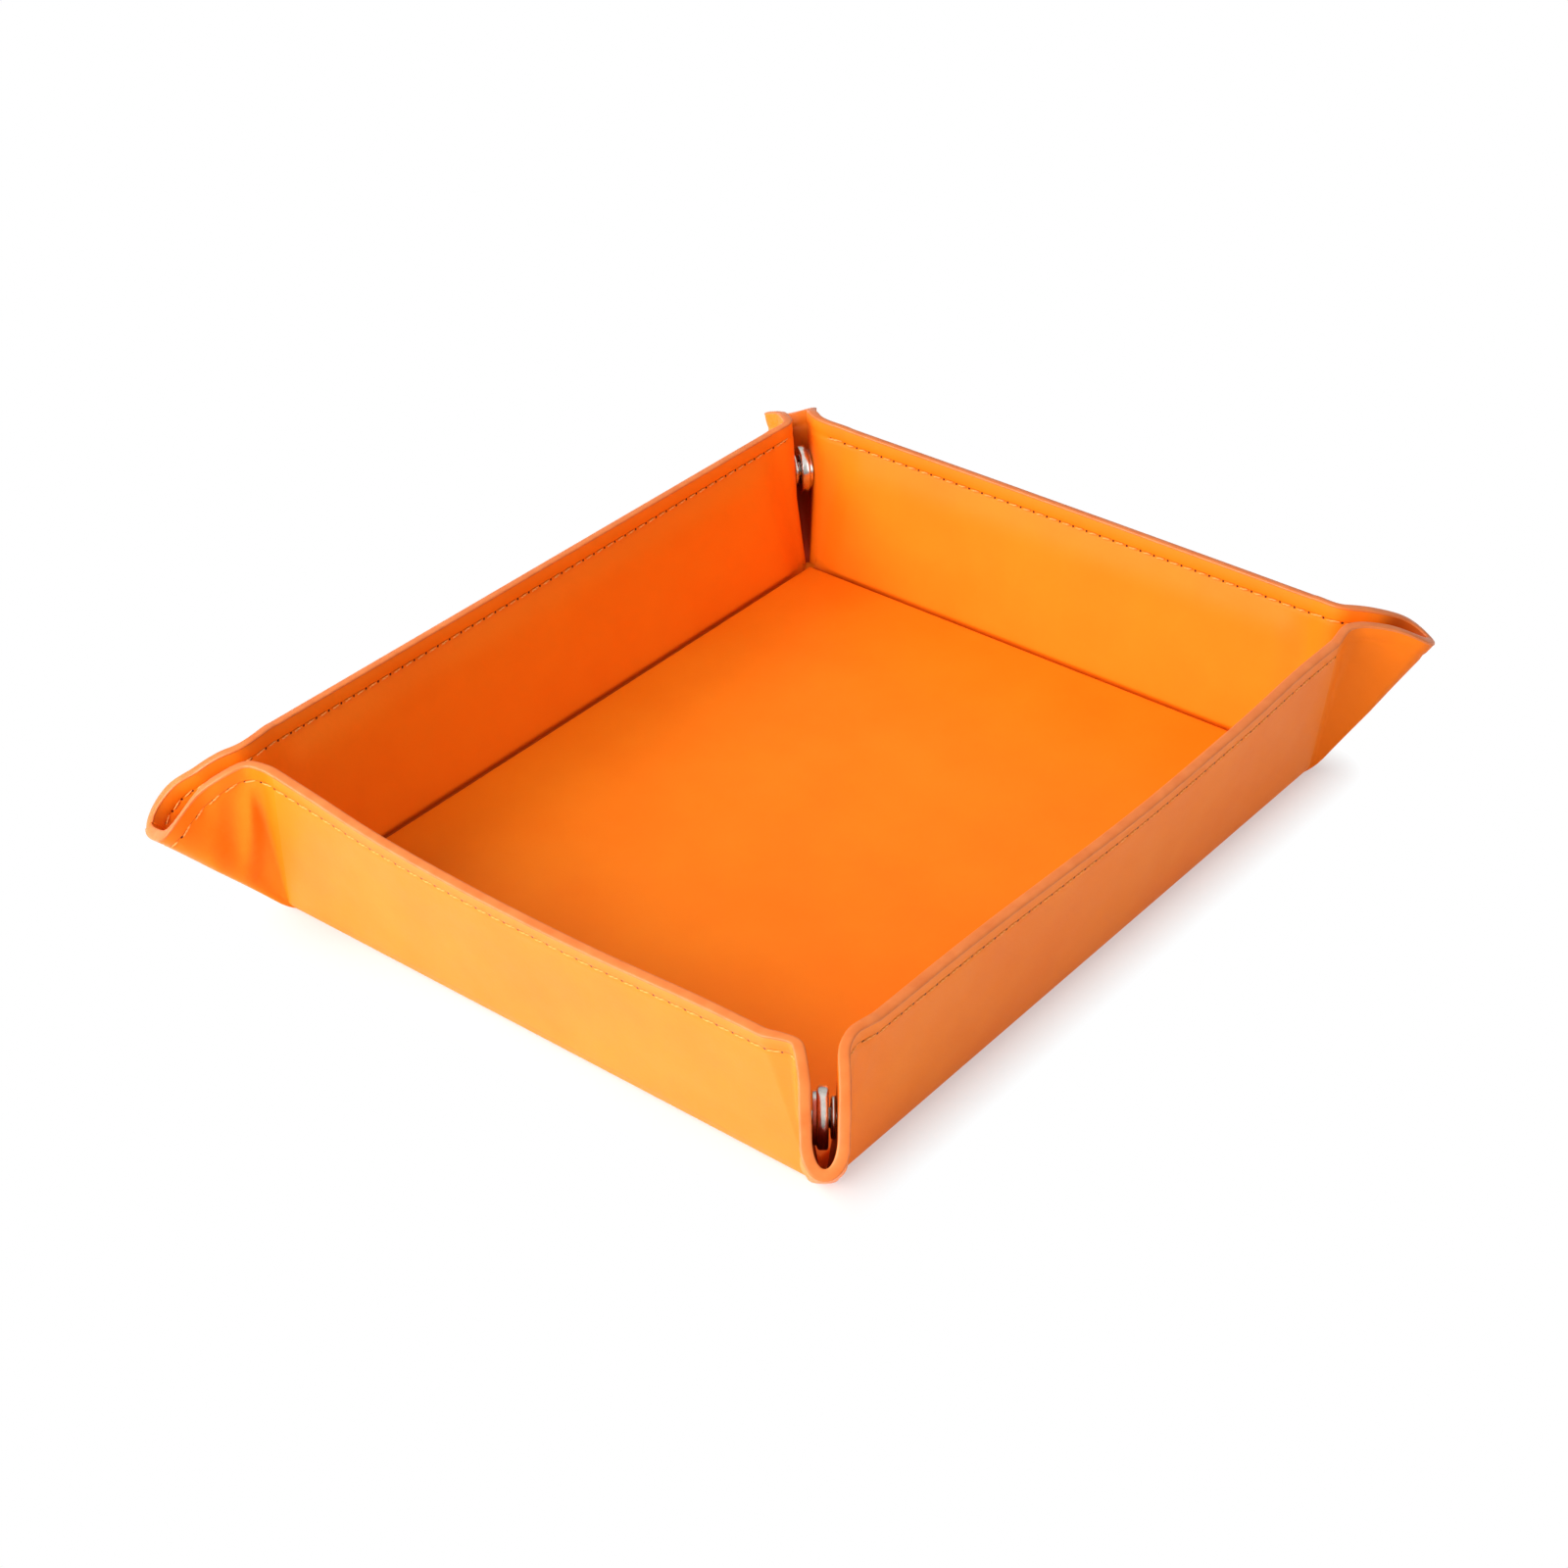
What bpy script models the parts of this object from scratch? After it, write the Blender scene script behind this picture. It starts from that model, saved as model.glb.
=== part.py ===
"""A leather snap tray for jewelry, standing up with its four corner studs closed.

Two leather sheets, a cover outside and a lining inside, are sewn together over a base board and
four wall boards. Between the boards the leather folds: along four creases at the foot of the
walls, and at the corners, where a press stud pinches the free leather into an ear. Opened, the
studs let every wall swing out and the ears unfold until the whole tray lies flat.

X runs along the long walls, Y along the short ones, Z is up. The origin is in the middle of the
underside. Lengths are in metres and angles in degrees.
"""

import math
from functools import partial

import bmesh
import bpy
import numpy as np
from mathutils import Matrix, Vector

# The tray
BASE_LENGTH = 0.192
BASE_WIDTH = 0.154
WALL_HEIGHT = 0.042
WALL_LEAN = 10.0

# Leather, boards and the clearance between pieces that touch
COVER_THICK = 0.0010
LINING_THICK = 0.0010
WALL_BOARD_THICK = 0.0012
BASE_BOARD_THICK = 0.0015
FIT_GAP = 0.0003

# Where the boards end and the lining steps down to the cover
RIM_BORDER = 0.0045
LINING_FOOT = 0.0005
LINING_RAMP = 0.0010

# Corners: the creases end short of the geometric corner, and the free leather starts there
CORNER_CUT = 0.0035
WALL_END_SLANT = 7.5
BEND_LENGTH = 0.0135
BEND_SPLIT = 0.0068
BEND_SHIFT = 0.0011

# Press studs
SNAP_RADIUS = 0.00625
SNAP_HEIGHT = 0.0260
SNAP_ANGLE_SHARE = 0.47
SOCKET_DEPTH = 0.0029
SOCKET_BORE = 0.0031
SOCKET_FLOOR = 0.0005
STUD_BASE_RADIUS = 0.0052
STUD_BASE_DEPTH = 0.0009
STUD_HEAD_RADIUS = 0.0024
STUD_NECK_RADIUS = 0.0020
STUD_HEAD_DEPTH = 0.0013
STUD_ROUND = 0.0003
PLATE_RADIUS = 0.0035
PLATE_THICK = 0.0004
POST_RADIUS = 0.0014
POST_BORE = 0.0008
CLENCH_RADIUS = 0.0021
CLENCH_THICK = 0.0003
SNAP_STEPS = 20
COLLAR_RADIUS = 0.0042
SOCKET_RIM_DEPTH = 0.0019
SOCKET_ROUND = 0.0004
MERGE = 0.00001

# How much further apart the halves of an ear stand at the rim than at the stud, each way
NECK_FLARE = 0.00035

# How far each half keeps from the fold plane at its root, less and less up to the tip, so that
# the halves pass as they open
ROOT_RELIEF = 0.0015

# Each ear: how steeply its fold rises, how far its tip reaches as a share of the wall height, how
# far it is turned towards the short wall, half the width of its loop over the outer faces at the
# rim, where the loop starts and is widest as shares of the way from the stud to the tip, and how
# pointed the tip is, from 1 for round to 2 for sharp
EARS = {
    "front_left": dict(
        rise=44.5, reach_share=0.94, turn=7.0, loop=0.0048, loop_shares=(0.15, 0.63), point=1.0
    ),
    "back_left": dict(
        rise=41.0, reach_share=0.92, turn=6.0, loop=0.0074, loop_shares=(0.05, 0.55), point=1.0
    ),
    "front_right": dict(
        rise=47.5, reach_share=1.03, turn=5.0, loop=0.0056, loop_shares=(0.05, 0.60), point=1.3
    ),
    "back_right": dict(
        rise=47.0, reach_share=1.03, turn=0.0, loop=0.0078, loop_shares=(0.05, 0.54), point=1.3
    ),
}
CORNER_SIGNS = {
    "front_left": (-1, -1),
    "back_left": (-1, 1),
    "front_right": (1, -1),
    "back_right": (1, 1),
}

# Each wall: its outward direction, and the corners at its two ends
WALLS = {
    "front_wall": ((0, -1, 0), ("front_left", "front_right")),
    "back_wall": ((0, 1, 0), ("back_right", "back_left")),
    "left_wall": ((-1, 0, 0), ("back_left", "front_left")),
    "right_wall": ((1, 0, 0), ("front_right", "back_right")),
}

# Stations of the corner surface, as shares of the stretch that they divide
WALL_BEND_SHARES = (0.0, 0.35, 0.7, 1.0)
EAR_BEND_SHARES = (0.0, 0.35, 0.7, 1.0)
NECK_STATIONS = 2
SWELL_STATIONS = 3
CLOSING_STEPS = 6

LEAN = math.radians(WALL_LEAN)
SLANT = math.radians(WALL_END_SLANT)
SQUARE = math.radians(90)
SHARP = math.radians(30)
Z_AXIS = np.array([0.0, 0.0, 1.0])

# Depths below the outer face: where each layer starts
BOARD_DEPTH = COVER_THICK + FIT_GAP
RIM_LINING_DEPTH = COVER_THICK + FIT_GAP
WALL_STEP = WALL_BOARD_THICK + FIT_GAP
BASE_STEP = BASE_BOARD_THICK + FIT_GAP
RIM_THICK = RIM_LINING_DEPTH + LINING_THICK
WALL_THICK = RIM_THICK + WALL_STEP
FLOOR_TOP = RIM_THICK + BASE_STEP

# Seats of the base layers, as insets from the outer faces of the walls
BASE_COVER_INSET = COVER_THICK / math.cos(LEAN) + FIT_GAP
BASE_LINING_INSET = RIM_THICK / math.cos(LEAN) + FIT_GAP
BASE_SHOULDER_INSET = BASE_LINING_INSET + LINING_FOOT + LINING_RAMP
BASE_BOARD_INSET = BASE_SHOULDER_INSET + LINING_THICK

# Rows of the walls and ears, measured up the slant from the crease
COVER_START = FIT_GAP
LINING_START = COVER_THICK + FIT_GAP
WALL_FOOT = LINING_START + LINING_FOOT
WALL_SHOULDER = max(FLOOR_TOP + FIT_GAP, WALL_FOOT + LINING_RAMP)
WALL_BOARD_START = WALL_SHOULDER + LINING_THICK
WALL_BOARD_TOP = WALL_HEIGHT - RIM_BORDER
RIM_RAMP_START = WALL_BOARD_TOP + FIT_GAP
RIM_RAMP_END = RIM_RAMP_START + LINING_RAMP

# The stack between the two linings of an ear at its stud, and the plane that the stud sits on
STACK = FIT_GAP + SOCKET_DEPTH + FIT_GAP + STUD_BASE_DEPTH + FIT_GAP
SEAT_GAP = STACK / 2 + RIM_THICK
EAR_COVER_START = 3 * COVER_THICK
EAR_LINING_START = 3 * LINING_THICK + EAR_COVER_START

COLOURS = {
    "orange_leather": ((0.92, 0.33, 0.035), 0.45, 0.0),
    "lining_leather": ((0.90, 0.27, 0.02), 0.5, 0.0),
    "grey_board": ((0.30, 0.28, 0.25), 0.85, 0.0),
    "nickel": ((0.62, 0.60, 0.58), 0.25, 1.0),
}


def clear_scene():
    for obj in list(bpy.data.objects):
        bpy.data.objects.remove(obj, do_unlink=True)


def new_collection(name):
    collection = bpy.data.collections.new(name)
    bpy.context.scene.collection.children.link(collection)
    return collection


def principled(name):
    colour, roughness, metallic = COLOURS[name]
    material = bpy.data.materials.new(name)
    material.use_nodes = True
    shader = material.node_tree.nodes["Principled BSDF"]
    shader.inputs["Base Color"].default_value = (*colour, 1.0)
    shader.inputs["Roughness"].default_value = roughness
    shader.inputs["Metallic"].default_value = metallic
    return material


def smooth(x):
    x = min(max(x, 0.0), 1.0)
    return x * x * (3 - 2 * x)


def unit(vector):
    vector = np.asarray(vector, float)
    return vector / np.linalg.norm(vector)


class Corner:
    """One corner of the tray: its ear's upright fold plane, and the two walls that meet there."""

    def __init__(self, name):
        self.name = name
        self.fold = EARS[name]
        sx, sy = CORNER_SIGNS[name]
        self.point = np.array([sx * BASE_LENGTH / 2, sy * BASE_WIDTH / 2, 0.0])
        self.normals = {
            "short": np.array([sx, 0.0, 0.0]),
            "long": np.array([0.0, sy, 0.0]),
        }
        diagonal = unit([sx, sy, 0.0])
        to_short = unit([sx, -sy, 0.0])
        turn = math.radians(self.fold["turn"])
        self.out = math.cos(turn) * diagonal + math.sin(turn) * to_short
        self.to_short = math.cos(turn) * to_short - math.sin(turn) * diagonal
        self.root = self.point - diagonal * CORNER_CUT / math.sqrt(2)
        self.tip_angle = SQUARE - math.radians(self.fold["rise"])
        self.tip_reach = self.fold["reach_share"] * WALL_HEIGHT
        snap_angle = SNAP_ANGLE_SHARE * self.tip_angle
        self.snap_place = snap_angle * WALL_HEIGHT
        self.snap_reach = SNAP_HEIGHT * math.tan(snap_angle)
        self.snap_radius = SNAP_HEIGHT / math.cos(snap_angle)
        self.seat_low = self.snap_radius - SNAP_RADIUS

    def half(self, side):
        return Half(self, side)


class Half:
    """One wall's end and the half ear that it runs into.

    A place in it is given by the arc from the wall's slanted end, measured at the rim, by the
    radius from the end of the crease, and by the depth below the outer face.
    """

    def __init__(self, corner, side):
        self.corner = corner
        self.side = side
        normal = corner.normals[side]
        other = corner.normals["long" if side == "short" else "short"]
        self.normal = normal
        self.along = -other
        self.apex = corner.point + self.along * CORNER_CUT
        self.up_slant = math.sin(LEAN) * normal + math.cos(LEAN) * Z_AXIS
        self.wall_normal = math.cos(LEAN) * normal - math.sin(LEAN) * Z_AXIS
        self.across = corner.to_short if side == "short" else -corner.to_short
        self.apex_gap = float((self.apex - corner.root) @ self.across)
        self.tip = corner.tip_angle * WALL_HEIGHT
        self.neck_start = BEND_LENGTH - BEND_SHIFT
        self.loop_start, self.loop_widest = (
            corner.snap_place + share * (self.tip - corner.snap_place)
            for share in corner.fold["loop_shares"]
        )

    def wall_point(self, arc, radius, depth):
        angle = arc / WALL_HEIGHT - SLANT
        direction = math.cos(angle) * self.up_slant - math.sin(angle) * self.along
        return self.apex + radius * direction - depth * self.wall_normal

    def neck_gap(self, radius):
        """Half the gap between the outer faces at the neck, which the stud holds level."""
        levels = (0.0, self.corner.seat_low, self.corner.snap_radius, WALL_HEIGHT)
        gaps = (self.apex_gap, SEAT_GAP, SEAT_GAP, SEAT_GAP + NECK_FLARE)
        return float(np.interp(radius, levels, gaps))

    def ear_point(self, place, swell, closing, radius, depth):
        """A point of the ear: place is the arc from upright, swell the half gap beyond the neck's
        at the rim, and closing the share of the gap that is left as the fold comes round."""
        inset = depth * WALL_HEIGHT / radius / (self.tip - self.neck_start)
        place -= max(place - self.neck_start, 0.0) * inset
        gap = self.neck_gap(radius) + swell * (radius / WALL_HEIGHT) ** 2 - depth
        relief = ROOT_RELIEF * max(1 - radius / self.corner.tip_reach, 0.0)
        gap = max(gap * closing, FIT_GAP / 2 + relief)
        angle = place / WALL_HEIGHT
        along_fold = math.sin(angle) * self.corner.out + math.cos(angle) * Z_AXIS
        return self.corner.root + radius * along_fold + gap * self.across

    def profile(self, step):
        """(place, swell, closing) of a station past the bend: neck, then swell, then closing."""
        fold = self.corner.fold
        swell = fold["loop"] - SEAT_GAP - NECK_FLARE
        if step <= NECK_STATIONS:
            share = step / NECK_STATIONS
            return self.neck_start + share * (self.loop_start - self.neck_start), 0.0, 1.0
        step -= NECK_STATIONS
        if step <= SWELL_STATIONS:
            share = step / SWELL_STATIONS
            place = self.loop_start + share * (self.loop_widest - self.loop_start)
            return place, smooth(share) * swell, 1.0
        angle = SQUARE * (step - SWELL_STATIONS) / CLOSING_STEPS
        place = self.loop_widest + math.sin(angle) * (self.tip - self.loop_widest)
        return place, swell, math.cos(angle) ** fold["point"]

    def rim_radius(self, share):
        """The rim's distance from the end of the crease, from the wall's end, 0, to the tip, 1."""
        start = WALL_HEIGHT / math.cos(SLANT)
        return start + smooth(share) * (self.corner.tip_reach - start)

    def bend_point(self, arc, radius, depth):
        """The wall's end turning into the neck: the two surfaces mixed smoothly.

        Where the wall's plane would cross the neck's, it is held at the neck's.
        """
        mix = smooth(arc / BEND_LENGTH)
        on_wall = self.wall_point(arc, radius, depth)
        on_ear = self.ear_point(max(arc - BEND_SHIFT, 0.0), 0.0, 1.0, radius, depth)
        crossed = max(float((on_ear - on_wall) @ self.across), 0.0)
        return (1 - mix) * (on_wall + crossed * self.across) + mix * on_ear

    def column(self, point, share, raised=0.0):
        """A station of this half at a share of the arc from the wall's end to the tip."""
        return Column(point, self.rim_radius(share), self.corner.seat_low, raised)

    def flat_column(self, inset, raised=0.0):
        """A station of the flat wall, drawn in from the wall's slanted end."""

        def point(radius, depth):
            return self.wall_point(0.0, radius, depth) + inset * self.along

        return self.column(point, 0.0, raised)

    def bend_column(self, arc):
        return self.column(partial(self.bend_point, arc), arc / self.tip)

    def wall_columns(self):
        """Stations from the wall's slanted end to the split in the middle of the bend."""
        for share in WALL_BEND_SHARES:
            yield self.bend_column(share * BEND_SPLIT)

    def ear_columns(self):
        """Stations from the split, one clearance on, to the fold plane."""
        start = BEND_SPLIT + FIT_GAP
        for share in EAR_BEND_SHARES[:-1]:
            yield self.bend_column(start + share * (BEND_LENGTH - start))
        for step in range(NECK_STATIONS + SWELL_STATIONS + CLOSING_STEPS + 1):
            at = self.profile(step)
            yield self.column(partial(self.ear_point, *at), at[0] / self.tip)

    def snap_centre(self):
        """Where the stud's axis meets the outer face of the ear."""
        corner = self.corner
        centre = corner.root + corner.snap_reach * corner.out + SNAP_HEIGHT * Z_AXIS
        return centre + SEAT_GAP * self.across


class Column:
    """A station of a sheet: its points by radius and depth, the radii of its rim and of the stud's
    lower edge, and how far the board raises it, from 0 to 1."""

    def __init__(self, point, rim, seat_low, raised):
        self.point = point
        self.rim = rim
        self.raised = raised
        self.rows = (seat_low / 2, seat_low, (seat_low + rim) / 2)


def new_mesh_object(name, mesh, look):
    """An object from a finished edit mesh, in its collection and with its material."""
    collection, material = look
    data = bpy.data.meshes.new(name)
    mesh.to_mesh(data)
    mesh.free()
    if material is not None:
        data.materials.append(material)
    data.shade_smooth()
    data.set_sharp_from_angle(angle=SHARP)
    obj = bpy.data.objects.new(name, data)
    collection.objects.link(obj)
    return obj


def slab(name, columns, rows, thickness, look):
    """A sheet lofted through stations: rows(column) lists the (radius, depth) of its outer face."""
    mesh = bmesh.new()
    layers = []
    for extra in (0.0, thickness):
        stations = []
        for column in columns:
            points = [column.point(radius, depth + extra) for radius, depth in rows(column)]
            stations.append([mesh.verts.new(point) for point in points])
        layers.append([list(row) for row in zip(*stations)])
    for grid in layers:
        for lower, upper in zip(grid, grid[1:]):
            for i in range(len(columns) - 1):
                mesh.faces.new((lower[i], lower[i + 1], upper[i + 1], upper[i]))
    borders = [border_of(grid) for grid in layers]
    for i in range(len(borders[0])):
        outer = (borders[0][i - 1], borders[0][i])
        mesh.faces.new((*outer, borders[1][i], borders[1][i - 1]))
    bmesh.ops.recalc_face_normals(mesh, faces=mesh.faces)
    return new_mesh_object(name, mesh, look)


def border_of(grid):
    """The vertices round the edge of a grid, in order."""
    ends = [row[-1] for row in grid[1:-1]]
    starts = [row[0] for row in grid[1:-1]]
    return grid[0] + ends + grid[-1][::-1] + starts[::-1]


def cutter(name, mesh, collection):
    obj = new_mesh_object(name, mesh, (collection, None))
    obj.hide_render = True
    obj.display_type = "WIRE"
    return obj


def cut(obj, tool):
    boolean = obj.modifiers.new(tool.name, "BOOLEAN")
    boolean.operation = "DIFFERENCE"
    boolean.object = tool


def axes(origin, first, second, third):
    """The placing matrix of a frame from its origin and its three directions."""
    matrix = Matrix.Identity(4)
    for column, vector in enumerate((first, second, third, origin)):
        for row in range(3):
            matrix[row][column] = float(vector[row])
    return matrix


def seat_frame(half):
    """The stud's frame on one half: its Z runs from the lining's face to the fold plane."""
    centre = half.snap_centre() - RIM_THICK * half.across
    return axes(centre, half.corner.out, np.cross(-half.across, half.corner.out), -half.across)


def round_cutter(name, half, radius, middle, depth, collection):
    """A round hole square to the stud's seat, its middle measured from the lining's face."""
    mesh = bmesh.new()
    bmesh.ops.create_cone(
        mesh, cap_ends=True, segments=SNAP_STEPS, radius1=radius, radius2=radius, depth=depth
    )
    place = seat_frame(half) @ Matrix.Translation((0, 0, middle))
    bmesh.ops.transform(mesh, matrix=place, verts=mesh.verts)
    return cutter(f"{half.corner.name}_{half.side}_{name}", mesh, collection)


def turned(name, profile, place, look):
    """A turned metal piece from the points of half its section, down the outer side."""
    mesh = bmesh.new()
    verts = [mesh.verts.new((radius, 0, height)) for radius, height in profile]
    ends = verts + verts[:1] if profile[0][0] > 0 else verts
    for first, second in zip(ends, ends[1:]):
        mesh.edges.new((first, second))
    obj = new_mesh_object(name, mesh, look)
    obj.matrix_world = place
    screw = obj.modifiers.new("turn", "SCREW")
    screw.axis = "Z"
    screw.steps = SNAP_STEPS
    screw.render_steps = SNAP_STEPS
    screw.use_merge_vertices = True
    screw.merge_threshold = MERGE
    screw.use_smooth_shade = True
    return obj


def socket_profile():
    """The socket: a rimmed disc with a raised collar round the bore that grips the stud."""
    back = FIT_GAP
    front = back + SOCKET_DEPTH
    hole = POST_RADIUS + FIT_GAP
    lip = STUD_HEAD_RADIUS + FIT_GAP
    rim_front = back + SOCKET_RIM_DEPTH
    return [
        (COLLAR_RADIUS, front),
        (COLLAR_RADIUS + SOCKET_ROUND, front - SOCKET_ROUND),
        (COLLAR_RADIUS + SOCKET_ROUND, rim_front + SOCKET_ROUND),
        (SNAP_RADIUS - SOCKET_ROUND, rim_front),
        (SNAP_RADIUS, rim_front - SOCKET_ROUND),
        (SNAP_RADIUS, back + SOCKET_ROUND),
        (SNAP_RADIUS - SOCKET_ROUND, back),
        (hole, back),
        (hole, back + SOCKET_FLOOR),
        (SOCKET_BORE, back + SOCKET_FLOOR),
        (SOCKET_BORE, front - SOCKET_ROUND),
        (lip, front),
    ]


def stud_profile():
    """The stud: a thin disc with a hollow, waisted knob."""
    back = FIT_GAP
    face = back + STUD_BASE_DEPTH
    top = face + FIT_GAP + STUD_HEAD_DEPTH
    hole = POST_RADIUS + FIT_GAP
    return [
        (0, top),
        (STUD_HEAD_RADIUS - STUD_ROUND, top),
        (STUD_HEAD_RADIUS, top - STUD_ROUND),
        (STUD_HEAD_RADIUS, top - 2 * STUD_ROUND),
        (STUD_NECK_RADIUS, face + FIT_GAP),
        (STUD_NECK_RADIUS, face),
        (STUD_BASE_RADIUS - STUD_ROUND, face),
        (STUD_BASE_RADIUS, face - STUD_ROUND),
        (STUD_BASE_RADIUS, back),
        (hole, back),
        (hole, top - STUD_ROUND),
        (0, top - STUD_ROUND),
    ]


def rivet_profile(top, clench):
    """The hidden rivet: a plate between the leathers and a hollow post through the lining."""
    middle = COVER_THICK + FIT_GAP / 2 - RIM_THICK
    plate_front = middle + PLATE_THICK / 2
    plate_back = middle - PLATE_THICK / 2
    head = [(POST_RADIUS, top)]
    if clench:
        head = [
            (CLENCH_RADIUS, top),
            (CLENCH_RADIUS, top - CLENCH_THICK),
            (POST_RADIUS, top - CLENCH_THICK),
        ]
    return head + [
        (POST_RADIUS, plate_front),
        (PLATE_RADIUS, plate_front),
        (PLATE_RADIUS, plate_back),
        (POST_BORE, plate_back),
        (POST_BORE, top),
    ]


def add_ear_half(half, looks, cutters):
    """The cover and lining of half an ear, and the half of the press stud that it carries."""
    corner = half.corner
    columns = list(half.ear_columns())
    recess = round_cutter(
        "plate_recess",
        half,
        PLATE_RADIUS + FIT_GAP,
        COVER_THICK + FIT_GAP / 2 - RIM_THICK,
        PLATE_THICK + 2 * FIT_GAP,
        cutters,
    )
    hole = round_cutter("post_hole", half, POST_RADIUS + FIT_GAP, 0, 2 * RIM_THICK, cutters)
    made = []
    layers = (
        ("cover", EAR_COVER_START, 0.0, COVER_THICK),
        ("lining", EAR_LINING_START, RIM_LINING_DEPTH, LINING_THICK),
    )
    for layer, start, depth, thickness in layers:

        def rows(column, start=start, depth=depth):
            return [(radius, depth) for radius in (start, *column.rows, column.rim)]

        name = f"{corner.name}_ear_{layer}_{half.side}_half"
        obj = slab(name, columns, rows, thickness, looks[layer])
        cut(obj, recess)
        if layer == "lining":
            cut(obj, hole)
        made.append(obj)
    place = seat_frame(half)
    if half.side == "short":
        clench_top = FIT_GAP + SOCKET_FLOOR + FIT_GAP + CLENCH_THICK
        fastener = turned(f"{corner.name}_socket", socket_profile(), place, looks["metal"])
        rivet = rivet_profile(clench_top, True)
    else:
        stud_top = FIT_GAP + STUD_BASE_DEPTH + FIT_GAP + STUD_HEAD_DEPTH
        fastener = turned(f"{corner.name}_stud", stud_profile(), place, looks["metal"])
        rivet = rivet_profile(stud_top - STUD_ROUND - FIT_GAP, False)
    made.append(fastener)
    made.append(turned(f"{fastener.name}_rivet", rivet, place, looks["metal"]))
    return made


def add_wall(name, looks, corners):
    """A wall's cover, board and lining. Its ends turn half way into the ears."""
    side = "long" if name in ("front_wall", "back_wall") else "short"
    first, last = (corners[end].half(side) for end in WALLS[name][1])

    shoulder = LINING_FOOT + LINING_RAMP
    board = shoulder + LINING_THICK
    columns = [
        *list(first.wall_columns())[::-1],
        first.flat_column(LINING_FOOT),
        first.flat_column(shoulder, 1.0),
        last.flat_column(shoulder, 1.0),
        last.flat_column(LINING_FOOT),
        *last.wall_columns(),
    ]

    def cover_rows(column):
        return [(radius, 0.0) for radius in (COVER_START, *column.rows, column.rim)]

    def lining_rows(column):
        raised = RIM_LINING_DEPTH + column.raised * WALL_STEP
        return [
            (LINING_START, RIM_LINING_DEPTH),
            (WALL_FOOT, RIM_LINING_DEPTH),
            (WALL_SHOULDER, raised),
            *((radius, raised) for radius in column.rows),
            (RIM_RAMP_START, raised),
            (RIM_RAMP_END, RIM_LINING_DEPTH),
            (column.rim, RIM_LINING_DEPTH),
        ]

    def board_rows(column):
        return [(WALL_BOARD_START, BOARD_DEPTH), (WALL_BOARD_TOP, BOARD_DEPTH)]

    ends = [first.flat_column(board), last.flat_column(board)]
    return [
        slab(f"{name}_cover", columns, cover_rows, COVER_THICK, looks["cover"]),
        slab(f"{name}_board", ends, board_rows, WALL_BOARD_THICK, looks["board"]),
        slab(f"{name}_lining", columns, lining_rows, LINING_THICK, looks["lining"]),
    ]


def base_outline(inset):
    """The base's outline, its corners cut where the ears start, drawn in by an inset."""
    half_x = BASE_LENGTH / 2 - inset
    half_y = BASE_WIDTH / 2 - inset
    clip = max(CORNER_CUT - inset * (2 - math.sqrt(2)), FIT_GAP)
    quarter = [(half_x, half_y - clip), (half_x - clip, half_y)]
    points = []
    for sx, sy in ((1, 1), (-1, 1), (-1, -1), (1, -1)):
        corner = [(sx * x, sy * y) for x, y in quarter]
        points += corner if sx * sy > 0 else corner[::-1]
    return points


def flat_sheet(name, inset, bottom, thickness, look):
    """A flat sheet of the base: its outline filled and extruded."""
    collection, material = look
    curve = bpy.data.curves.new(name, "CURVE")
    curve.dimensions = "2D"
    curve.fill_mode = "BOTH"
    curve.extrude = thickness / 2
    outline = base_outline(inset)
    spline = curve.splines.new("POLY")
    spline.points.add(len(outline) - 1)
    for point, (x, y) in zip(spline.points, outline):
        point.co = (x, y, 0, 1)
    spline.use_cyclic_u = True
    curve.materials.append(material)
    obj = bpy.data.objects.new(name, curve)
    obj.location = (0, 0, bottom + thickness / 2)
    collection.objects.link(obj)
    return obj


def add_base(looks):
    """The base: cover, board, and a lining that steps down round the board."""
    cover = flat_sheet("base_cover", BASE_COVER_INSET, 0, COVER_THICK, looks["cover"])
    board = flat_sheet(
        "base_board", BASE_BOARD_INSET, BOARD_DEPTH, BASE_BOARD_THICK, looks["board"]
    )
    mesh = bmesh.new()
    low = RIM_LINING_DEPTH
    rings = (
        (BASE_LINING_INSET, low),
        (BASE_LINING_INSET + LINING_FOOT, low),
        (BASE_SHOULDER_INSET, low + BASE_STEP),
    )
    loops = []
    for inset, height in rings:
        loops.append([mesh.verts.new((x, y, height)) for x, y in base_outline(inset)])
    for outer, inner in zip(loops, loops[1:]):
        for i in range(len(outer)):
            j = (i + 1) % len(outer)
            mesh.faces.new((outer[i], outer[j], inner[j], inner[i]))
    mesh.faces.new(loops[-1])
    bmesh.ops.recalc_face_normals(mesh, faces=mesh.faces)
    mesh.faces.ensure_lookup_table()
    if mesh.faces[-1].normal.z > 0:
        bmesh.ops.reverse_faces(mesh, faces=mesh.faces)
    lining = new_mesh_object("base_lining", mesh, looks["lining"])
    solid = lining.modifiers.new("thickness", "SOLIDIFY")
    solid.thickness = LINING_THICK
    solid.offset = -1
    solid.use_even_offset = True
    return [cover, board, lining]


def pivot(name, point, axis, collection, parent=None):
    """An empty on a joint's axis, its Z along the axis."""
    empty = bpy.data.objects.new(name, None)
    empty.empty_display_size = SNAP_RADIUS
    empty.matrix_world = Matrix.Translation(Vector(point)) @ (
        Vector(axis).to_track_quat("Z", "Y").to_matrix().to_4x4()
    )
    collection.objects.link(empty)
    if parent is not None:
        hang([empty], parent)
    return empty


def hang(objects, parent):
    """Parents objects to an empty, each staying where it is."""
    bpy.context.view_layer.update()
    for obj in objects:
        place = obj.matrix_world.copy()
        obj.parent = parent
        obj.matrix_parent_inverse = parent.matrix_world.inverted()
        obj.matrix_world = place


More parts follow.
